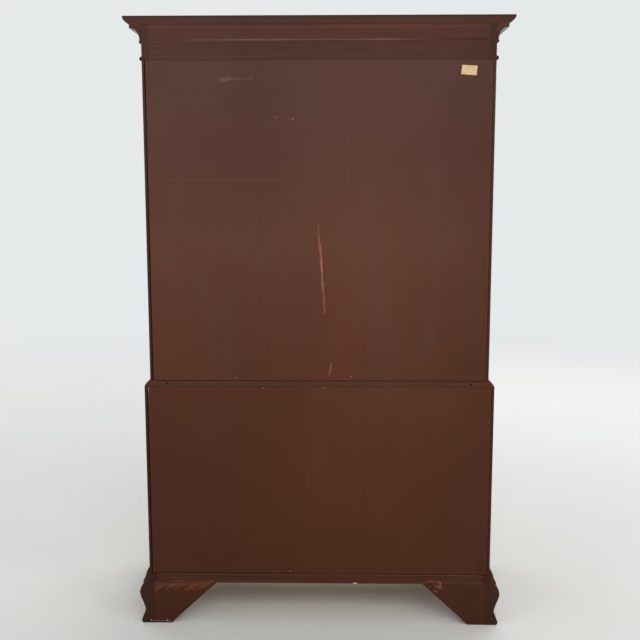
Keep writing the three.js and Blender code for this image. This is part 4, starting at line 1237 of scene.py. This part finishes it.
@dataclass
class Crown(Joinery):
    """The cap board, cornice and frieze of the upper case."""

    overhang: float = 0.051
    cap_round: float = 0.016
    cap_fillet: float = 0.0045
    cap_swell: Pair = (0.88, 0.52)
    cap_arris: float = 0.0012
    cornice_height: float = 0.0535
    reach: float = 0.0323
    fillet: float = 0.011
    quirk: float = 0.0023
    cove_foot: float = 0.0045
    cove_drop: float = 0.031
    bead: float = 0.0056
    astragal: float = 0.006
    astragal_start: float = 0.00008
    astragal_lift: float = 0.012

    def build(self) -> None:
        """Builds the crown."""
        self.cap()
        self.cornice()
        self.frieze()

    def cap(self) -> None:
        """Builds the cap board with its moulded edge."""
        low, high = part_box("cap_board")
        rise = high.z - low.z - self.cap_fillet
        guide = (self.overhang - self.cap_round * (1 - self.cap_swell[0]), rise * self.cap_swell[1])
        edge = bend((self.overhang - self.cap_round, 0.0), guide, (self.overhang, rise), 16)
        turn = arc((self.overhang - self.cap_arris, high.z - self.cap_arris), (self.cap_arris,) * 2, 0, 90, 4)
        profile = [(out, 0.0, low.z + up) for out, up in edge]
        profile += [(out, self.overhang - out, level) for out, level in turn]
        stain = tones((1.755, 69, 37, 27), (1.770, 60, 33, 26), (1.778, 42, 24, 21))
        finish = StainedBack(stain, Axis.X, 0.3, across=FRIEZE_PAINTED_LIGHT, lines=0.7)
        shape = layers(profile, self.upper).painted(1, backward)
        fit("cap_board", shape, (Mahogany(Axis.X, 0.5, 5.0), finish), "cap_board")

    def cornice(self) -> None:
        """Builds the cornice: a fillet, a cove and a bead."""
        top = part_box("cornice_moulding")[1].z
        base, cove_top, cove_reach = top - self.cornice_height, top - self.fillet, self.reach - self.quirk
        bead = arc((FIT, base + self.bead), (self.bead, self.bead), -60, 60, 10)
        cove = arc((cove_reach, cove_top - self.cove_drop), (self.cove_foot - cove_reach, self.cove_drop), 0, 90, 16)
        profile = [(FIT, top), (FIT, base), *bead, *cove, (self.reach, cove_top), (self.reach, top)]
        ends = StainedBack(tones((1.70, 64, 34, 21), (1.75, 68, 37, 24)), Axis.Y, 0.4)
        lengths("cornice_moulding", profile, self.upper, ends, (7.0, 6.0, 8.0), "cornice_moulding")

    def frieze(self) -> None:
        """Builds the front frieze rail and the astragal that runs round the case at its foot."""
        low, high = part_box("frieze_rail_front")
        half, front = self.upper.half, self.upper.front
        rail = Shape.block((-half, front, low.z), (half, front + self.upper.board, high.z)).eased(SOFT_EDGE)
        fit("frieze_rail_front", rail, Mahogany(Axis.X, 0.8, 3.0), "frieze_rail_front")
        centre = (self.astragal_start, low.z + self.astragal_lift)
        profile = arc(centre, (self.astragal, self.astragal), -90, 90, 12)
        ends = StainedBack(tones((1.6, 44, 24, 18), (1.7, 52, 28, 20)))
        lengths("astragal", profile, self.upper, ends, (1.0, 1.0, 1.0), drawn=0.0)


@dataclass
class Waist(Joinery):
    """The board between the cases, with a seat for the upper one."""

    seat: float = 0.0035
    lip: float = 0.0012
    swell: Pair = (0.6, 0.66)
    screw_spread: float = 0.442
    hole: float = 0.0026
    hole_depth: float = 0.012
    screw_depth: float = 0.6  # how deep the screws' heads lie, as a share of the hole
    screw_length: float = 0.004
    screw_top: tuple[Pair, ...] = ((0.0, 0.0006), (0.0015, 0.0005))

    def build(self) -> None:
        """Builds the waist board and the screws that hold the cases together."""
        low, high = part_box("waist_board")
        case, step, thickness = self.upper, self.lower.half - self.upper.half, high.z - low.z
        guide = (self.lip + (step - self.lip) * self.swell[0], thickness * self.swell[1])
        edge = bend((step, 0.0), guide, (self.lip, thickness), 14)
        shape = layers([(out, 0.0, low.z + up) for out, up in edge], case)
        seat, half = high.z - self.seat, case.half + FIT
        middle = (low.z + seat) / 2
        hole = Shape.turned([(self.hole, -self.hole_depth), (self.hole, OVERRUN)], Axis.Y, 24)
        holes = [hole.moved((hand * self.screw_spread, case.back, middle)) for _, hand in HANDS]
        room_above = Shape.block((-half, case.front - FIT, seat), (half, case.back + OVERRUN, high.z + OVERRUN))
        shape.cut(room_above, *holes).eased(BACK_EDGE, where=self.rear_edge).painted(1, backward)
        stain = tones((0.733, 74, 40, 26), (0.752, 79, 45, 30))
        rear = StainedBack(stain, Axis.X, 0.3, marks=WAIST_MARKS)
        fit("waist_board", shape, (Mahogany(Axis.X, shift=11.0), rear), "waist_board")
        wide, depth = self.hole - FIT, self.hole_depth * self.screw_depth
        screw = [*self.screw_top, (wide, 0.0), (wide, -self.screw_length), (0.0, -self.screw_length)]
        screws = Shape.turned(screw, Axis.Y, 20).moved((-self.screw_spread, case.back - depth, middle))
        fit("waist_screws", screws.with_others(screws.moved((2 * self.screw_spread, 0.0, 0.0))), DarkSteel())

    def rear_edge(self, edge: bmesh.types.BMEdge) -> bool:
        """Whether an edge is a long one along the board's back."""
        on_back = all(abs(vert.co.y - self.upper.back) < TOUCH for vert in edge.verts)
        return on_back and edge.calc_length() > self.upper.half


@dataclass
class Base(Joinery):
    """The moulding round the lower case, with the front base rail behind it."""

    reach: float = 0.020
    lip: float = 0.0018
    fillet: float = 0.006
    rail_height: float = 0.0285
    arris: float = 0.0008

    def build(self) -> None:
        """Builds the moulding and the rail."""
        low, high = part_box("base_moulding")
        case, foot, steps = self.lower, low.z + self.fillet, 20
        out, up = (self.lip + self.reach) / 2, (high.z + foot) / 2
        wide, tall = self.reach - out, high.z - up
        shares = [i / steps - 0.5 for i in range(steps + 1)]
        cyma = [(out - 2 * wide * t + wide * math.sin(2 * math.pi * t) / 6, up + 2 * tall * t) for t in shares]
        heel = arc((self.reach - self.arris, low.z + self.arris), (self.arris, self.arris), -90, 0, 3)
        ends = StainedBack(tones((0.13, 58, 31, 20), (0.17, 62, 32, 21)), Axis.Y, 0.4)
        profile = [(FIT, high.z), (FIT, low.z), *heel, *cyma]
        lengths("base_moulding", profile, case, ends, (13.0, 12.0, 14.0), "base_moulding")
        reach = case.half - case.board - FIT
        top = (reach, case.front + case.board, low.z + self.rail_height)
        rail = Shape.block((-reach, case.front + FIT / 2, low.z), top).eased(SOFT_EDGE)
        fit("base_rail_front", rail, BareWood("dust_wood", Axis.X))


@dataclass
class Feet(Joinery):
    """The four ogee bracket feet, each with its boards and glue block."""

    height: float = 0.128
    swell: float = 0.031
    inset: float = 0.011
    length: float = 0.182
    board_top: float = 0.200
    board_pad: float = 0.062
    block: float = 0.045
    block_lift: float = 0.006
    block_round: float = 0.002
    toe: float = 0.0014
    flat: float = 0.012  # faces this wide are shaded flat
    rows: int = 40
    ogee: tuple[Pair, ...] = (
        *((0.56, 1.0), (0.84, 0.91), (1.0, 0.78), (0.90, 0.65), (0.68, 0.51), (0.50, 0.355)),
        *((0.58, 0.26), (0.80, 0.14), (0.88, 0.07), (0.84, 0.025), (0.72, 0.0)),
    )
    scroll_start: float = 0.32
    scroll_step: float = 0.62
    scroll_next: float = 0.64
    scroll_levels: Triple = (0.48, 0.60, 0.90)

    def build(self) -> None:
        """Builds the four feet."""
        for side, hand in HANDS:
            self.front_foot(f"foot_front_{side}", hand)
            self.rear_foot(f"foot_rear_{side}", hand)

    @cached_property
    def curve(self) -> list[Pair]:
        """The ogee, as places out from the case's face and levels, from the top down."""
        return smooth([(self.swell * out, self.height * up) for out, up in self.ogee], 6)

    def out_at(self, level: float) -> float:
        """Measures how far out the ogee stands.

        Args:
            level: The level above the floor.

        Returns:
            The distance from the lower case's face.
        """
        for (out0, up0), (out1, up1) in zip(self.curve, self.curve[1:]):
            if up1 <= level <= up0:
                return out0 + (out1 - out0) * (up0 - level) / max(up0 - up1, 1e-9)
        return self.curve[-1][0] if level < self.curve[-1][1] else self.curve[0][0]

    def scroll(self) -> list[Pair]:
        """Draws the bracket's lower edge.

        Returns:
            Each place along the bracket with the edge's level there.
        """
        low, middle, high = (self.height * level for level in self.scroll_levels)
        pad = [(share * self.scroll_start, 0.0) for share in (0.0, 0.35, 0.7)]
        first = arc((self.scroll_step, 0.0), (self.scroll_start - self.scroll_step, low), 0, 90, 12)
        second = arc((1.0, middle), (self.scroll_next - 1, high - middle), 0, 90, 12)
        return [(along * self.length, level) for along, level in (*pad, *first, *second)]

    def section(self, base: float) -> list[Pair]:
        """Draws a bracket's section above its lower edge.

        Args:
            base: The lower edge's level.

        Returns:
            The section's points, each as a distance out from the case's face and a level.
        """
        rise = self.height - base - self.toe
        levels = [self.height - rise * i / self.rows for i in range(self.rows + 1)]
        outer = [(self.out_at(level), level) for level in levels]
        heel = arc((outer[-1][0] - self.toe, base + self.toe), (self.toe, self.toe), 0, -90, 4)[1:]
        return [*outer, *heel, (-self.inset, base), (-self.inset, self.height)]

    def bracket(self, place: Callable[[float, float, float], Sequence[float]], mitred: bool) -> Shape:
        """Builds a bracket.

        Args:
            place: Puts a distance out, a distance along and a level into space.
            mitred: Whether it starts at a mitre, and not square at the back.

        Returns:
            The bracket.
        """
        rings = []
        for i, (along, base) in enumerate(self.scroll()):
            corner = i == 0 and mitred
            rings.append([Vector(place(out, MITRE - out if corner else along, z)) for out, z in self.section(base)])
        return Shape.skin(rings, self.flat)

    def glue_block(self, node: str, hand: int, towards: int, corner: float) -> None:
        """Builds the block in a foot's corner.

        Args:
            node: The foot's name.
            hand: -1 for left and 1 for right.
            towards: The way to the chest's middle along Y, 1 or -1.
            corner: Where the foot's board or bracket ends along Y.
        """
        outer = hand * (self.lower.half - self.inset - FIT / 2)
        near = corner + towards * FIT / 2
        high = (outer - hand * self.block, near + towards * self.block, self.height + FIT)
        block = Shape.block((outer, near, self.block_lift), high)
        fit(f"{node}_block", block.eased(self.block_round, 3), SHADED_WOOD, node)

    def front_foot(self, node: str, hand: int) -> None:
        """Builds a front foot of two mitred brackets.

        Args:
            node: The foot's name.
            hand: -1 for left and 1 for right.
        """
        half, front = self.lower.half, self.lower.front
        run = self.bracket(lambda out, along, z: (hand * (half + out), front + along, z), True)
        face = self.bracket(lambda out, along, z: (hand * (half - along), front - out, z), True)
        fit(f"{node}_side_bracket", run, Mahogany(Axis.Y, 0.5, 2.0), node)
        fit(f"{node}_front_bracket", face, Mahogany(Axis.X, 0.5, 2.0), node)
        self.glue_block(node, hand, 1, front + self.inset)

    def rear_foot(self, node: str, hand: int) -> None:
        """Builds a rear foot of one bracket and a flat board across the back.

        Args:
            node: The foot's name.
            hand: -1 for left and 1 for right.
        """
        half, back, board = self.lower.half, self.lower.back, self.lower.board
        run = self.bracket(lambda out, along, z: (hand * (half + out), back - along, z), False)
        ends = StainedBack(tones((0.0, 48, 26, 17), (0.13, 56, 30, 19)), streaks=0.3, marks=FOOT_MARKS)
        fit(f"{node}_bracket", run.painted(1, backward), (Mahogany(Axis.Y, 0.5, 2.0), ends), node)
        near, top = self.inset + FIT / 2, self.height
        flat = [(near, 0.0), (self.board_pad, 0.0), (self.board_top, top), (near, top)]
        shape = Shape.prism([(hand * (half - along), level) for along, level in flat], Axis.Y, back - board, back)
        stain = StainedBack(tones((0.0, 60, 29, 15), (0.13, 65, 32, 18)), Axis.X, 0.35, marks=FOOT_MARKS)
        fit(f"{node}_board", shape.eased(BACK_EDGE, where=lambda edge: True), stain, node)
        self.glue_block(node, hand, -1, back - board)


@dataclass
class Pull:
    """A brass pull: a cut-out back plate, two posts and a swinging bail."""

    width: float = 0.110
    height: float = 0.064
    thickness: float = 0.0018
    bevel: float = 0.0013
    spread: float = 0.038
    rise: float = 0.005
    reach: float = 0.015
    head: float = 0.0056
    stem: float = 0.0032
    collar: float = 0.0015
    pin: float = 0.0019
    play: float = 0.0005
    pin_length: float = 0.0045
    wing: float = 0.007
    drop: float = 0.036
    swell: float = 0.0032
    ear: float = 0.0012  # how far past a post's ball the bail leaves its axis
    bead: Triple = (0.42, 0.0012, 0.0022)  # where the bail's beads are, and how high and wide
    line: tuple[Pair, ...] = ((1.0, 0.1), (1.0, 0.36), (0.86, 0.62), (0.6, 0.84), (0.3, 0.97), (0.0, 1.0))
    section: tuple[Pair, ...] = ((0.0, 0.0), (0.0, 0.45), (1.0, 1.0), (2.6, 1.0), (3.0, 0.78), (3.4, 1.0))
    outline: tuple[Pair, ...] = (
        *((0.0, 1.0), (0.10, 0.84), (0.22, 0.97), (0.36, 0.90), (0.44, 0.64), (0.58, 0.80), (0.74, 0.74)),
        *((0.80, 0.50), (0.94, 0.42), (1.0, 0.16), (0.90, -0.04), (0.97, -0.26), (0.84, -0.48), (0.66, -0.42)),
        *((0.54, -0.64), (0.38, -0.58), (0.26, -0.82), (0.12, -0.76), (0.0, -1.0)),
    )

    def plate_shape(self, width: float, height: float) -> Shape:
        """Builds a plate with a bevelled rim and an engraved line inside it.

        Args:
            width: The plate's width.
            height: Its height.

        Returns:
            The plate, its back at the origin and its face towards -Y.
        """
        half = smooth([(width / 2 * x, height / 2 * z) for x, z in self.outline], 3)
        rim = [*half, *((-x, z) for x, z in half[-2:0:-1])]
        rings = []
        for inset, depth in ((self.bevel * inset, self.thickness * depth) for inset, depth in self.section):
            x_share, z_share = 1 - 2 * inset / width, 1 - 2 * inset / height
            rings.append([Vector((x * x_share, -depth, z * z_share)) for x, z in rim])
        return Shape.skin(rings, 0.0)

    def plate(self) -> Shape:
        """Builds the back plate with its posts.

        Returns:
            The plate, round the middle of the line between its posts.
        """
        shape = self.plate_shape(self.width, self.height).moved((0.0, 0.0, -self.rise))
        face, ball = self.thickness, self.thickness + self.reach
        post = [
            *((0.0, face * 0.5), (self.head, face * 0.5), (self.head, face + self.collar * 0.5)),
            *((self.head * 0.86, face + self.collar), (self.stem, face + 2 * self.collar)),
            (self.stem, ball - self.head),
            *arc((0.0, ball), (self.head, self.head), -55, 80, 10),
            (0.0, ball + self.head),
        ]
        bore, length = self.pin + self.play, self.head + OVERRUN
        hole = Shape.turned([(bore, -length), (bore, length)], Axis.X, 20).moved((0.0, -ball, 0.0))
        for _, hand in HANDS:
            turned = Shape.turned([(radius, -along) for radius, along in post], Axis.Y, 28).cut(hole)
            shape.with_others(turned.moved((hand * self.spread, 0.0, 0.0)))
        return shape

    def bail(self) -> Shape:
        """Builds the bail.

        Returns:
            The bail, round its axis.
        """
        neck = self.spread + self.head
        shoulder, start = neck + self.wing, neck - self.pin_length
        half = [(neck + self.ear, 0.0), *((shoulder * x, -self.drop * z) for x, z in self.line)]
        flat = [(start, 0.0), *smooth([*half, *((-x, z) for x, z in half[-2::-1])], 5), (-start, 0.0)]
        place, high, wide = self.bead
        radii = []
        for x, z in flat:
            depth = -z / self.drop
            bead = high * math.exp(-(((abs(x) - shoulder * place) / wide) ** 2)) if depth > 0.5 else 0.0
            radii.append(self.pin + (self.swell - self.pin) * max(0.0, depth) ** 2 + bead)
        return Shape.bar([Vector((x, 0.0, z)) for x, z in flat], radii, Vector((0.0, 1.0, 0.0)))


@dataclass
class Drawer:
    """One drawer: its front with a cock bead, its dovetailed box, and its brasses."""

    name: str
    wood_shift: float
    side: float = 0.012
    bottom: float = 0.006
    bottom_lift: float = 0.010
    top_round: float = 0.0012
    bead: float = 0.004
    bead_proud: float = 0.0025
    bead_depth: float = 0.008
    tail_length: float = 0.013
    tail_pitch: float = 0.044
    tail_share: float = 0.3
    tail_flare: float = 0.002
    keyhole: float = 0.0026
    keyhole_foot: Pair = (0.75, 3.2)  # half its width and its drop, for a round of 1
    keyhole_reach: Pair = (-0.006, 0.014)
    key_rise: float = 0.24  # how far above the middle it is, for a front of 1
    key_plate: Pair = (0.046, 0.058)
    key_drop: float = 0.004
    knob_radius: float = 0.014
    knob_lip: Triple = (0.0036, 0.0044, 0.0158)  # its two radii and its middle's place
    knob_tip: Pair = (0.0040, 0.0004)
    knob_foot: tuple[Pair, ...] = (
        *((0.0, 0.0), (0.0102, 0.0), (0.0104, 0.0008), (0.0098, 0.0018), (0.0080, 0.0026), (0.0072, 0.0030)),
        *((0.0056, 0.0036), (0.0046, 0.0052), (0.0045, 0.0086), (0.0056, 0.0102), (0.0092, 0.0114)),
    )
    knob_face: tuple[Pair, ...] = ((0.0086, 0.0216), (0.0080, 0.0213), (0.0074, 0.0217))

    def __post_init__(self) -> None:
        """Reads the drawer's place from the frame."""
        self.low, self.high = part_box(f"{self.name}_front")
        self.box_low, self.box_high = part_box(f"{self.name}_box")
        self.face = self.low.y + self.bead_proud
        self.joint = self.high.y
        self.middle = (self.low.x + self.high.x) / 2
        self.key_level = (self.low.z + self.high.z) / 2 + (self.high.z - self.low.z) * self.key_rise

    def fit(self, part: str, shape: Shape, finishes: Finish | Sequence[Finish], node: str | None = None) -> None:
        """Makes a piece that slides with the drawer, and may stand for one of the drawer's nodes."""
        fit(f"{self.name}_{part}", shape, finishes, node and f"{self.name}_{node}", self.name)

    def build(self) -> None:
        """Builds the whole drawer."""
        self.front()
        self.beads()
        self.box()
        if "small" in self.name:
            self.knob()
            return
        pull = Pull()
        for side, _ in HANDS:
            self.brasses(pull, side)
        place = (self.middle, self.face - FIT / 3, self.key_level - self.key_drop)
        plate = pull.plate_shape(*self.key_plate).moved(place)
        self.fit("key_plate", plate.cut(self.keyhole_tool()), AgedBrass())

    def tails(self, grow: float) -> list[list[Pair]]:
        """Draws the dovetails at a side's front end.

        Args:
            grow: How much larger they are drawn, for the sockets.

        Returns:
            Their outlines as Y and Z, from the lowest up.
        """
        start = max(self.box_low.z, self.low.z)
        count = max(2, round((self.box_high.z - start) / self.tail_pitch))
        space = (self.box_high.z - start) / count
        root, end = space * self.tail_share + grow, self.joint - self.tail_length - grow
        tip = root + self.tail_flare
        flat = ((self.joint, -root), (end, -tip), (end, tip), (self.joint, root))
        return [[(y, start + space * (i + 0.5) + z) for y, z in flat] for i in range(count)]

    def corner(self, number: int, inset: float, y: float) -> Vector:
        """A corner of the front, drawn in from its edges: 0 is low on the left, and 1 to 3 follow it round."""
        x = self.high.x - inset if number % 4 in (1, 2) else self.low.x + inset
        return Vector((x, y, self.high.z - inset if number % 4 in (2, 3) else self.low.z + inset))

    def front(self) -> None:
        """Builds the front board, rebated for its bead and socketed for the box."""
        edge, step = self.bead + FIT / 4, self.face + self.bead_depth
        steps = ((edge, self.face), (edge, step), (0.0, step), (0.0, self.joint))
        shape = Shape.skin([[self.corner(i, inset, y) for i in range(4)] for inset, y in steps])
        tools = []
        for outline in self.tails(FIT):
            beyond = [(y + OVERRUN if y == self.joint else y, z) for y, z in outline]
            tools.append(Shape.prism(beyond, Axis.X, self.low.x - OVERRUN, self.low.x + self.side + FIT))
            tools.append(Shape.prism(beyond, Axis.X, self.high.x - self.side - FIT, self.high.x + OVERRUN))
        groove = self.box_low.z + self.bottom_lift
        low = (self.low.x + self.side, self.joint - self.bottom - FIT, groove - FIT)
        tools.append(Shape.block(low, (self.high.x - self.side, self.joint + OVERRUN, groove + self.bottom + FIT)))
        if "small" not in self.name:
            tools.append(self.keyhole_tool())
        shape.cut(*tools).painted(1, lambda face: face.normal.y > -SQUARELY)
        veneer = Mahogany(Axis.X, 1.0, self.wood_shift, roughness=0.3)
        self.fit("front", shape, (veneer, Mahogany(Axis.X, shift=self.wood_shift + 1)), "front")

    def keyhole_tool(self) -> Shape:
        """Shapes the keyhole, for a cut through the plate and into the front.

        Returns:
            The solid to take away.
        """
        size = self.keyhole
        wide, drop = (size * share for share in self.keyhole_foot)
        outline = [*arc((0.0, 0.0), (size, size), -50, 230, 14), (-wide, -drop), (wide, -drop)]
        return Shape.prism(outline, Axis.Y, *self.keyhole_reach).moved((self.middle, self.face, self.key_level))

    def beads(self) -> None:
        """Builds the four rounded strips of the cock bead, mitred at the corners."""
        nose, root = self.bead / 2, self.face + self.bead_depth - FIT / 4
        section = [(0.0, root), *arc((nose, self.low.y + nose), (-nose, -nose), 0, 180, 8), (self.bead, root)]
        dark, pale = screen(74, 32, 20), screen(112, 54, 32)
        for number, side in enumerate(("bottom", "right", "top", "left")):
            grain = Axis.Z if number % 2 else Axis.X
            rings = [[self.corner(end, inset, y) for inset, y in section] for end in (number, number + 1)]
            self.fit(f"bead_{side}", Shape.skin(rings), Mahogany(grain, 0.2, number + 20.0, body=dark, pale=pale))

    def box(self) -> None:
        """Builds the sides, back and bottom."""
        low, high, start = self.box_low, self.box_high, self.joint + FIT
        tails = [point for outline in reversed(self.tails(0.0)) for point in reversed(outline)]
        outline = [(high.y, low.z), (high.y, high.z), (start, high.z)]
        outline += [(start if y == self.joint else y, z) for y, z in tails] + [(start, low.z)]
        for side, x in (("left", low.x), ("right", high.x - self.side)):
            board = Shape.prism(outline, Axis.X, x, x + self.side).eased(self.top_round, 3, self.top_edge)
            self.fit(f"box_{side}", board, BareWood(grain=Axis.Y, shift=self.wood_shift + x), "box")
        inner = self.side + FIT / 4
        back = Shape.block((low.x + inner, high.y - self.side, low.z), (high.x - inner, high.y, high.z))
        self.fit("box_back", back.eased(self.top_round, 3, self.top_edge), BareWood(shift=self.wood_shift), "box")
        lift = low.z + self.bottom_lift
        top = (high.x - inner, high.y - self.side - FIT / 4, lift + self.bottom)
        bottom = Shape.block((low.x + inner, self.joint - self.bottom, lift), top)
        dark, light = screen(150, 116, 74), screen(206, 174, 128)
        self.fit("box_bottom", bottom, BareWood(dark=dark, light=light, shift=self.wood_shift + 3), "box")

    def top_edge(self, edge: bmesh.types.BMEdge) -> bool:
        """Whether an edge runs along the top of the box."""
        return all(abs(vert.co.z - self.box_high.z) < TOUCH for vert in edge.verts) and edge.calc_length() > 0.1

    def brasses(self, pull: Pull, side: str) -> None:
        """Fits a pull.

        Args:
            pull: The pull's sizes.
            side: Left or right.
        """
        low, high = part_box(f"{self.name}_plate_{side}")
        place = Vector(((low.x + high.x) / 2, self.face - FIT, (low.z + high.z) / 2 + pull.rise))
        self.fit(f"plate_{side}", pull.plate().moved(place), AgedBrass(), f"plate_{side}")
        bail, axis = f"{self.name}_bail_{side}", place - Vector((0.0, pull.thickness + pull.reach, 0.0))
        fit(bail, pull.bail().moved(axis), AgedBrass(), bail, f"{self.name}_bail_{side[0]}")

    def knob(self) -> None:
        """Fits a turned knob."""
        low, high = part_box(f"{self.name}_knob")
        length, (wide, deep, place), (tip, slope) = high.y - low.y, self.knob_lip, self.knob_tip
        lip = arc((self.knob_radius - wide, place), (wide, deep), -90, 80, 10)
        profile = [*self.knob_foot, *lip, *self.knob_face, (tip, length - slope), (0.0, length)]
        shape = Shape.turned([(radius, -along) for radius, along in profile], Axis.Y, 48)
        self.fit("knob", shape.moved((self.middle, high.y, (low.z + high.z) / 2)), AgedBrass(), "knob")


@dataclass(frozen=True)
class SoftLight:
    """One large soft lamp."""

    name: str
    place: Triple
    aim: Triple
    size: Pair
    power: float

    def hang(self) -> None:
        """Hangs the lamp."""
        lamp = bpy.data.lights.new(self.name, "AREA")
        lamp.shape, lamp.energy = "RECTANGLE", self.power
        lamp.size, lamp.size_y = self.size
        hung = stand(self.name, lamp)
        hung.location = self.place
        hung.rotation_euler = (Vector(self.aim) - Vector(self.place)).to_track_quat("-Z", "Y").to_euler()


@dataclass
class Studio:
    """The plain pale room: floor, backdrop, lamps and camera."""

    backdrop: Colour = screen(230, 233, 234)
    floor: Colour = screen(216, 217, 214)
    white: Colour = screen(255, 255, 255)
    ambient: float = 0.55
    near: float = 1.5
    far: float = 6.0
    reach: float = 40.0
    focal: float = 53.507
    sensor: float = 36.0
    eye: Triple = (-0.052685, 2.961094, 1.330685)
    turn: Triple = (-1.04109, 8.42216, -0.05624)  # the camera's yaw, pitch and roll, in degrees
    behind: Triple = (0.0, 0.25, 1.0)
    before: Triple = (0.0, -0.2, 0.9)

    def build(self) -> None:
        """Builds the room and sets the view."""
        bpy.context.scene.view_settings.view_transform = "Standard"
        self.camera()
        self.sky()
        self.ground()
        for light in (
            SoftLight("back_high", (-0.6, 4.6, 3.3), self.behind, (3.0, 1.6), 95.0),
            SoftLight("back_left", (3.6, 3.4, 2.8), self.behind, (1.8, 2.0), 30.0),
            SoftLight("back_right", (-3.6, 3.4, 2.8), self.behind, (1.8, 2.0), 42.0),
            SoftLight("front_high", (-1.2, -4.6, 3.4), self.before, (3.0, 1.6), 100.0),
            SoftLight("front_left", (-3.8, -3.2, 2.4), self.before, (2.4, 3.0), 48.0),
            SoftLight("front_right", (3.8, -3.2, 2.4), self.before, (2.4, 3.0), 38.0),
        ):
            light.hang()

    def camera(self) -> None:
        """Sets the camera at the photograph's viewpoint, behind the chest."""
        yaw, pitch, roll = (math.radians(angle) for angle in self.turn)
        forward = Vector((-math.sin(yaw) * math.cos(pitch), -math.cos(yaw) * math.cos(pitch), -math.sin(pitch)))
        level = Vector((-math.cos(yaw), math.sin(yaw), 0.0))
        upright = level.cross(forward)
        right = level * math.cos(roll) + upright * math.sin(roll)
        up = upright * math.cos(roll) - level * math.sin(roll)
        lens = bpy.data.cameras.new("camera")
        lens.lens, lens.sensor_width = self.focal, self.sensor
        camera = stand("camera", lens)
        camera.matrix_world = Matrix.Translation(self.eye) @ Matrix((right, up, -forward)).transposed().to_4x4()
        bpy.context.scene.camera = camera

    def sky(self) -> None:
        """Makes the world: pale where it is seen or mirrored, and softer as light."""
        graph = Graph(bpy.data.worlds.new("studio"))
        path = graph.node("ShaderNodeLightPath").outputs
        mirrored = graph.maths("MAXIMUM", *(Value(graph, path[f"Is {ray} Ray"]) for ray in ("Glossy", "Transmission")))
        seen = graph.maths("MAXIMUM", Value(graph, path["Is Camera Ray"]), mirrored)
        light = graph.node("ShaderNodeBackground", {}, {"Color": self.white, "Strength": self.ambient})
        pale = graph.node("ShaderNodeBackground", {}, {"Color": self.backdrop, "Strength": 1.0})
        blend = graph.node("ShaderNodeMixShader", {}, {0: seen, 1: light.outputs[0], 2: pale.outputs[0]})
        graph.node("ShaderNodeOutputWorld", {}, {"Surface": blend.outputs[0]})
        bpy.context.scene.world = graph.owner

    def ground(self) -> None:
        """Lays the pale floor, which fades into the backdrop far from the chest."""
        shape = Shape()
        rim = arc((0.0, 0.0), (self.reach, self.reach), 0, 360, 64)[:-1]
        shape.bm.faces.new([shape.bm.verts.new((*place, 0.0)) for place in rim])
        floor = stand("floor", shape.mesh("floor"))
        graph = Graph(bpy.data.materials.new("pale_floor"))
        cloud = graph.noise((1.7, 1.7, 1.7), 4.0)
        grit = graph.noise((240.0, 240.0, 240.0), 3.0)
        colour = graph.scaled(self.floor, 0.95 + cloud * 0.06 + grit * 0.04)
        dull = {"Base Color": colour, "Roughness": 0.75 + (grit - 0.5) * 0.1, "Specular IOR Level": 0.2}
        ground = graph.node("ShaderNodeBsdfPrincipled", {}, dull)
        glow = graph.node("ShaderNodeEmission", {}, {"Color": self.backdrop, "Strength": 1.0})
        away = graph.spread(graph.measure("LENGTH", graph.place.outputs["Object"]), self.near, self.far)
        path = graph.node("ShaderNodeLightPath").outputs
        seen = graph.maths("MAXIMUM", *(Value(graph, path[f"Is {ray} Ray"]) for ray in ("Camera", "Glossy")))
        fade = graph.node("ShaderNodeMixShader", {}, {0: away * seen, 1: ground.outputs[0], 2: glow.outputs[0]})
        graph.node("ShaderNodeOutputMaterial", {}, {"Surface": fade.outputs[0]})
        floor.data.materials.append(graph.owner)


def main() -> None:
    """Builds the highboy round its frame, piece by piece."""
    logging.basicConfig(level=logging.INFO, format="%(name)s: %(message)s")
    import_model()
    Studio().build()
    cases = Case.read()
    for assembly in (CaseSides, InnerBoards, Back, Crown, Waist, Base, Feet):
        assembly(*cases).build()
    for side, _ in HANDS:
        Drawer(f"small_drawer_{side}", 0.0).build()
    long_ones = [f"upper_drawer_{i}" for i in (1, 2, 3)] + [f"lower_drawer_{i}" for i in (1, 2)]
    for number, name in enumerate(long_ones, start=2):
        Drawer(name, number * 1.7).build()


if __name__ == "__main__":
    main()
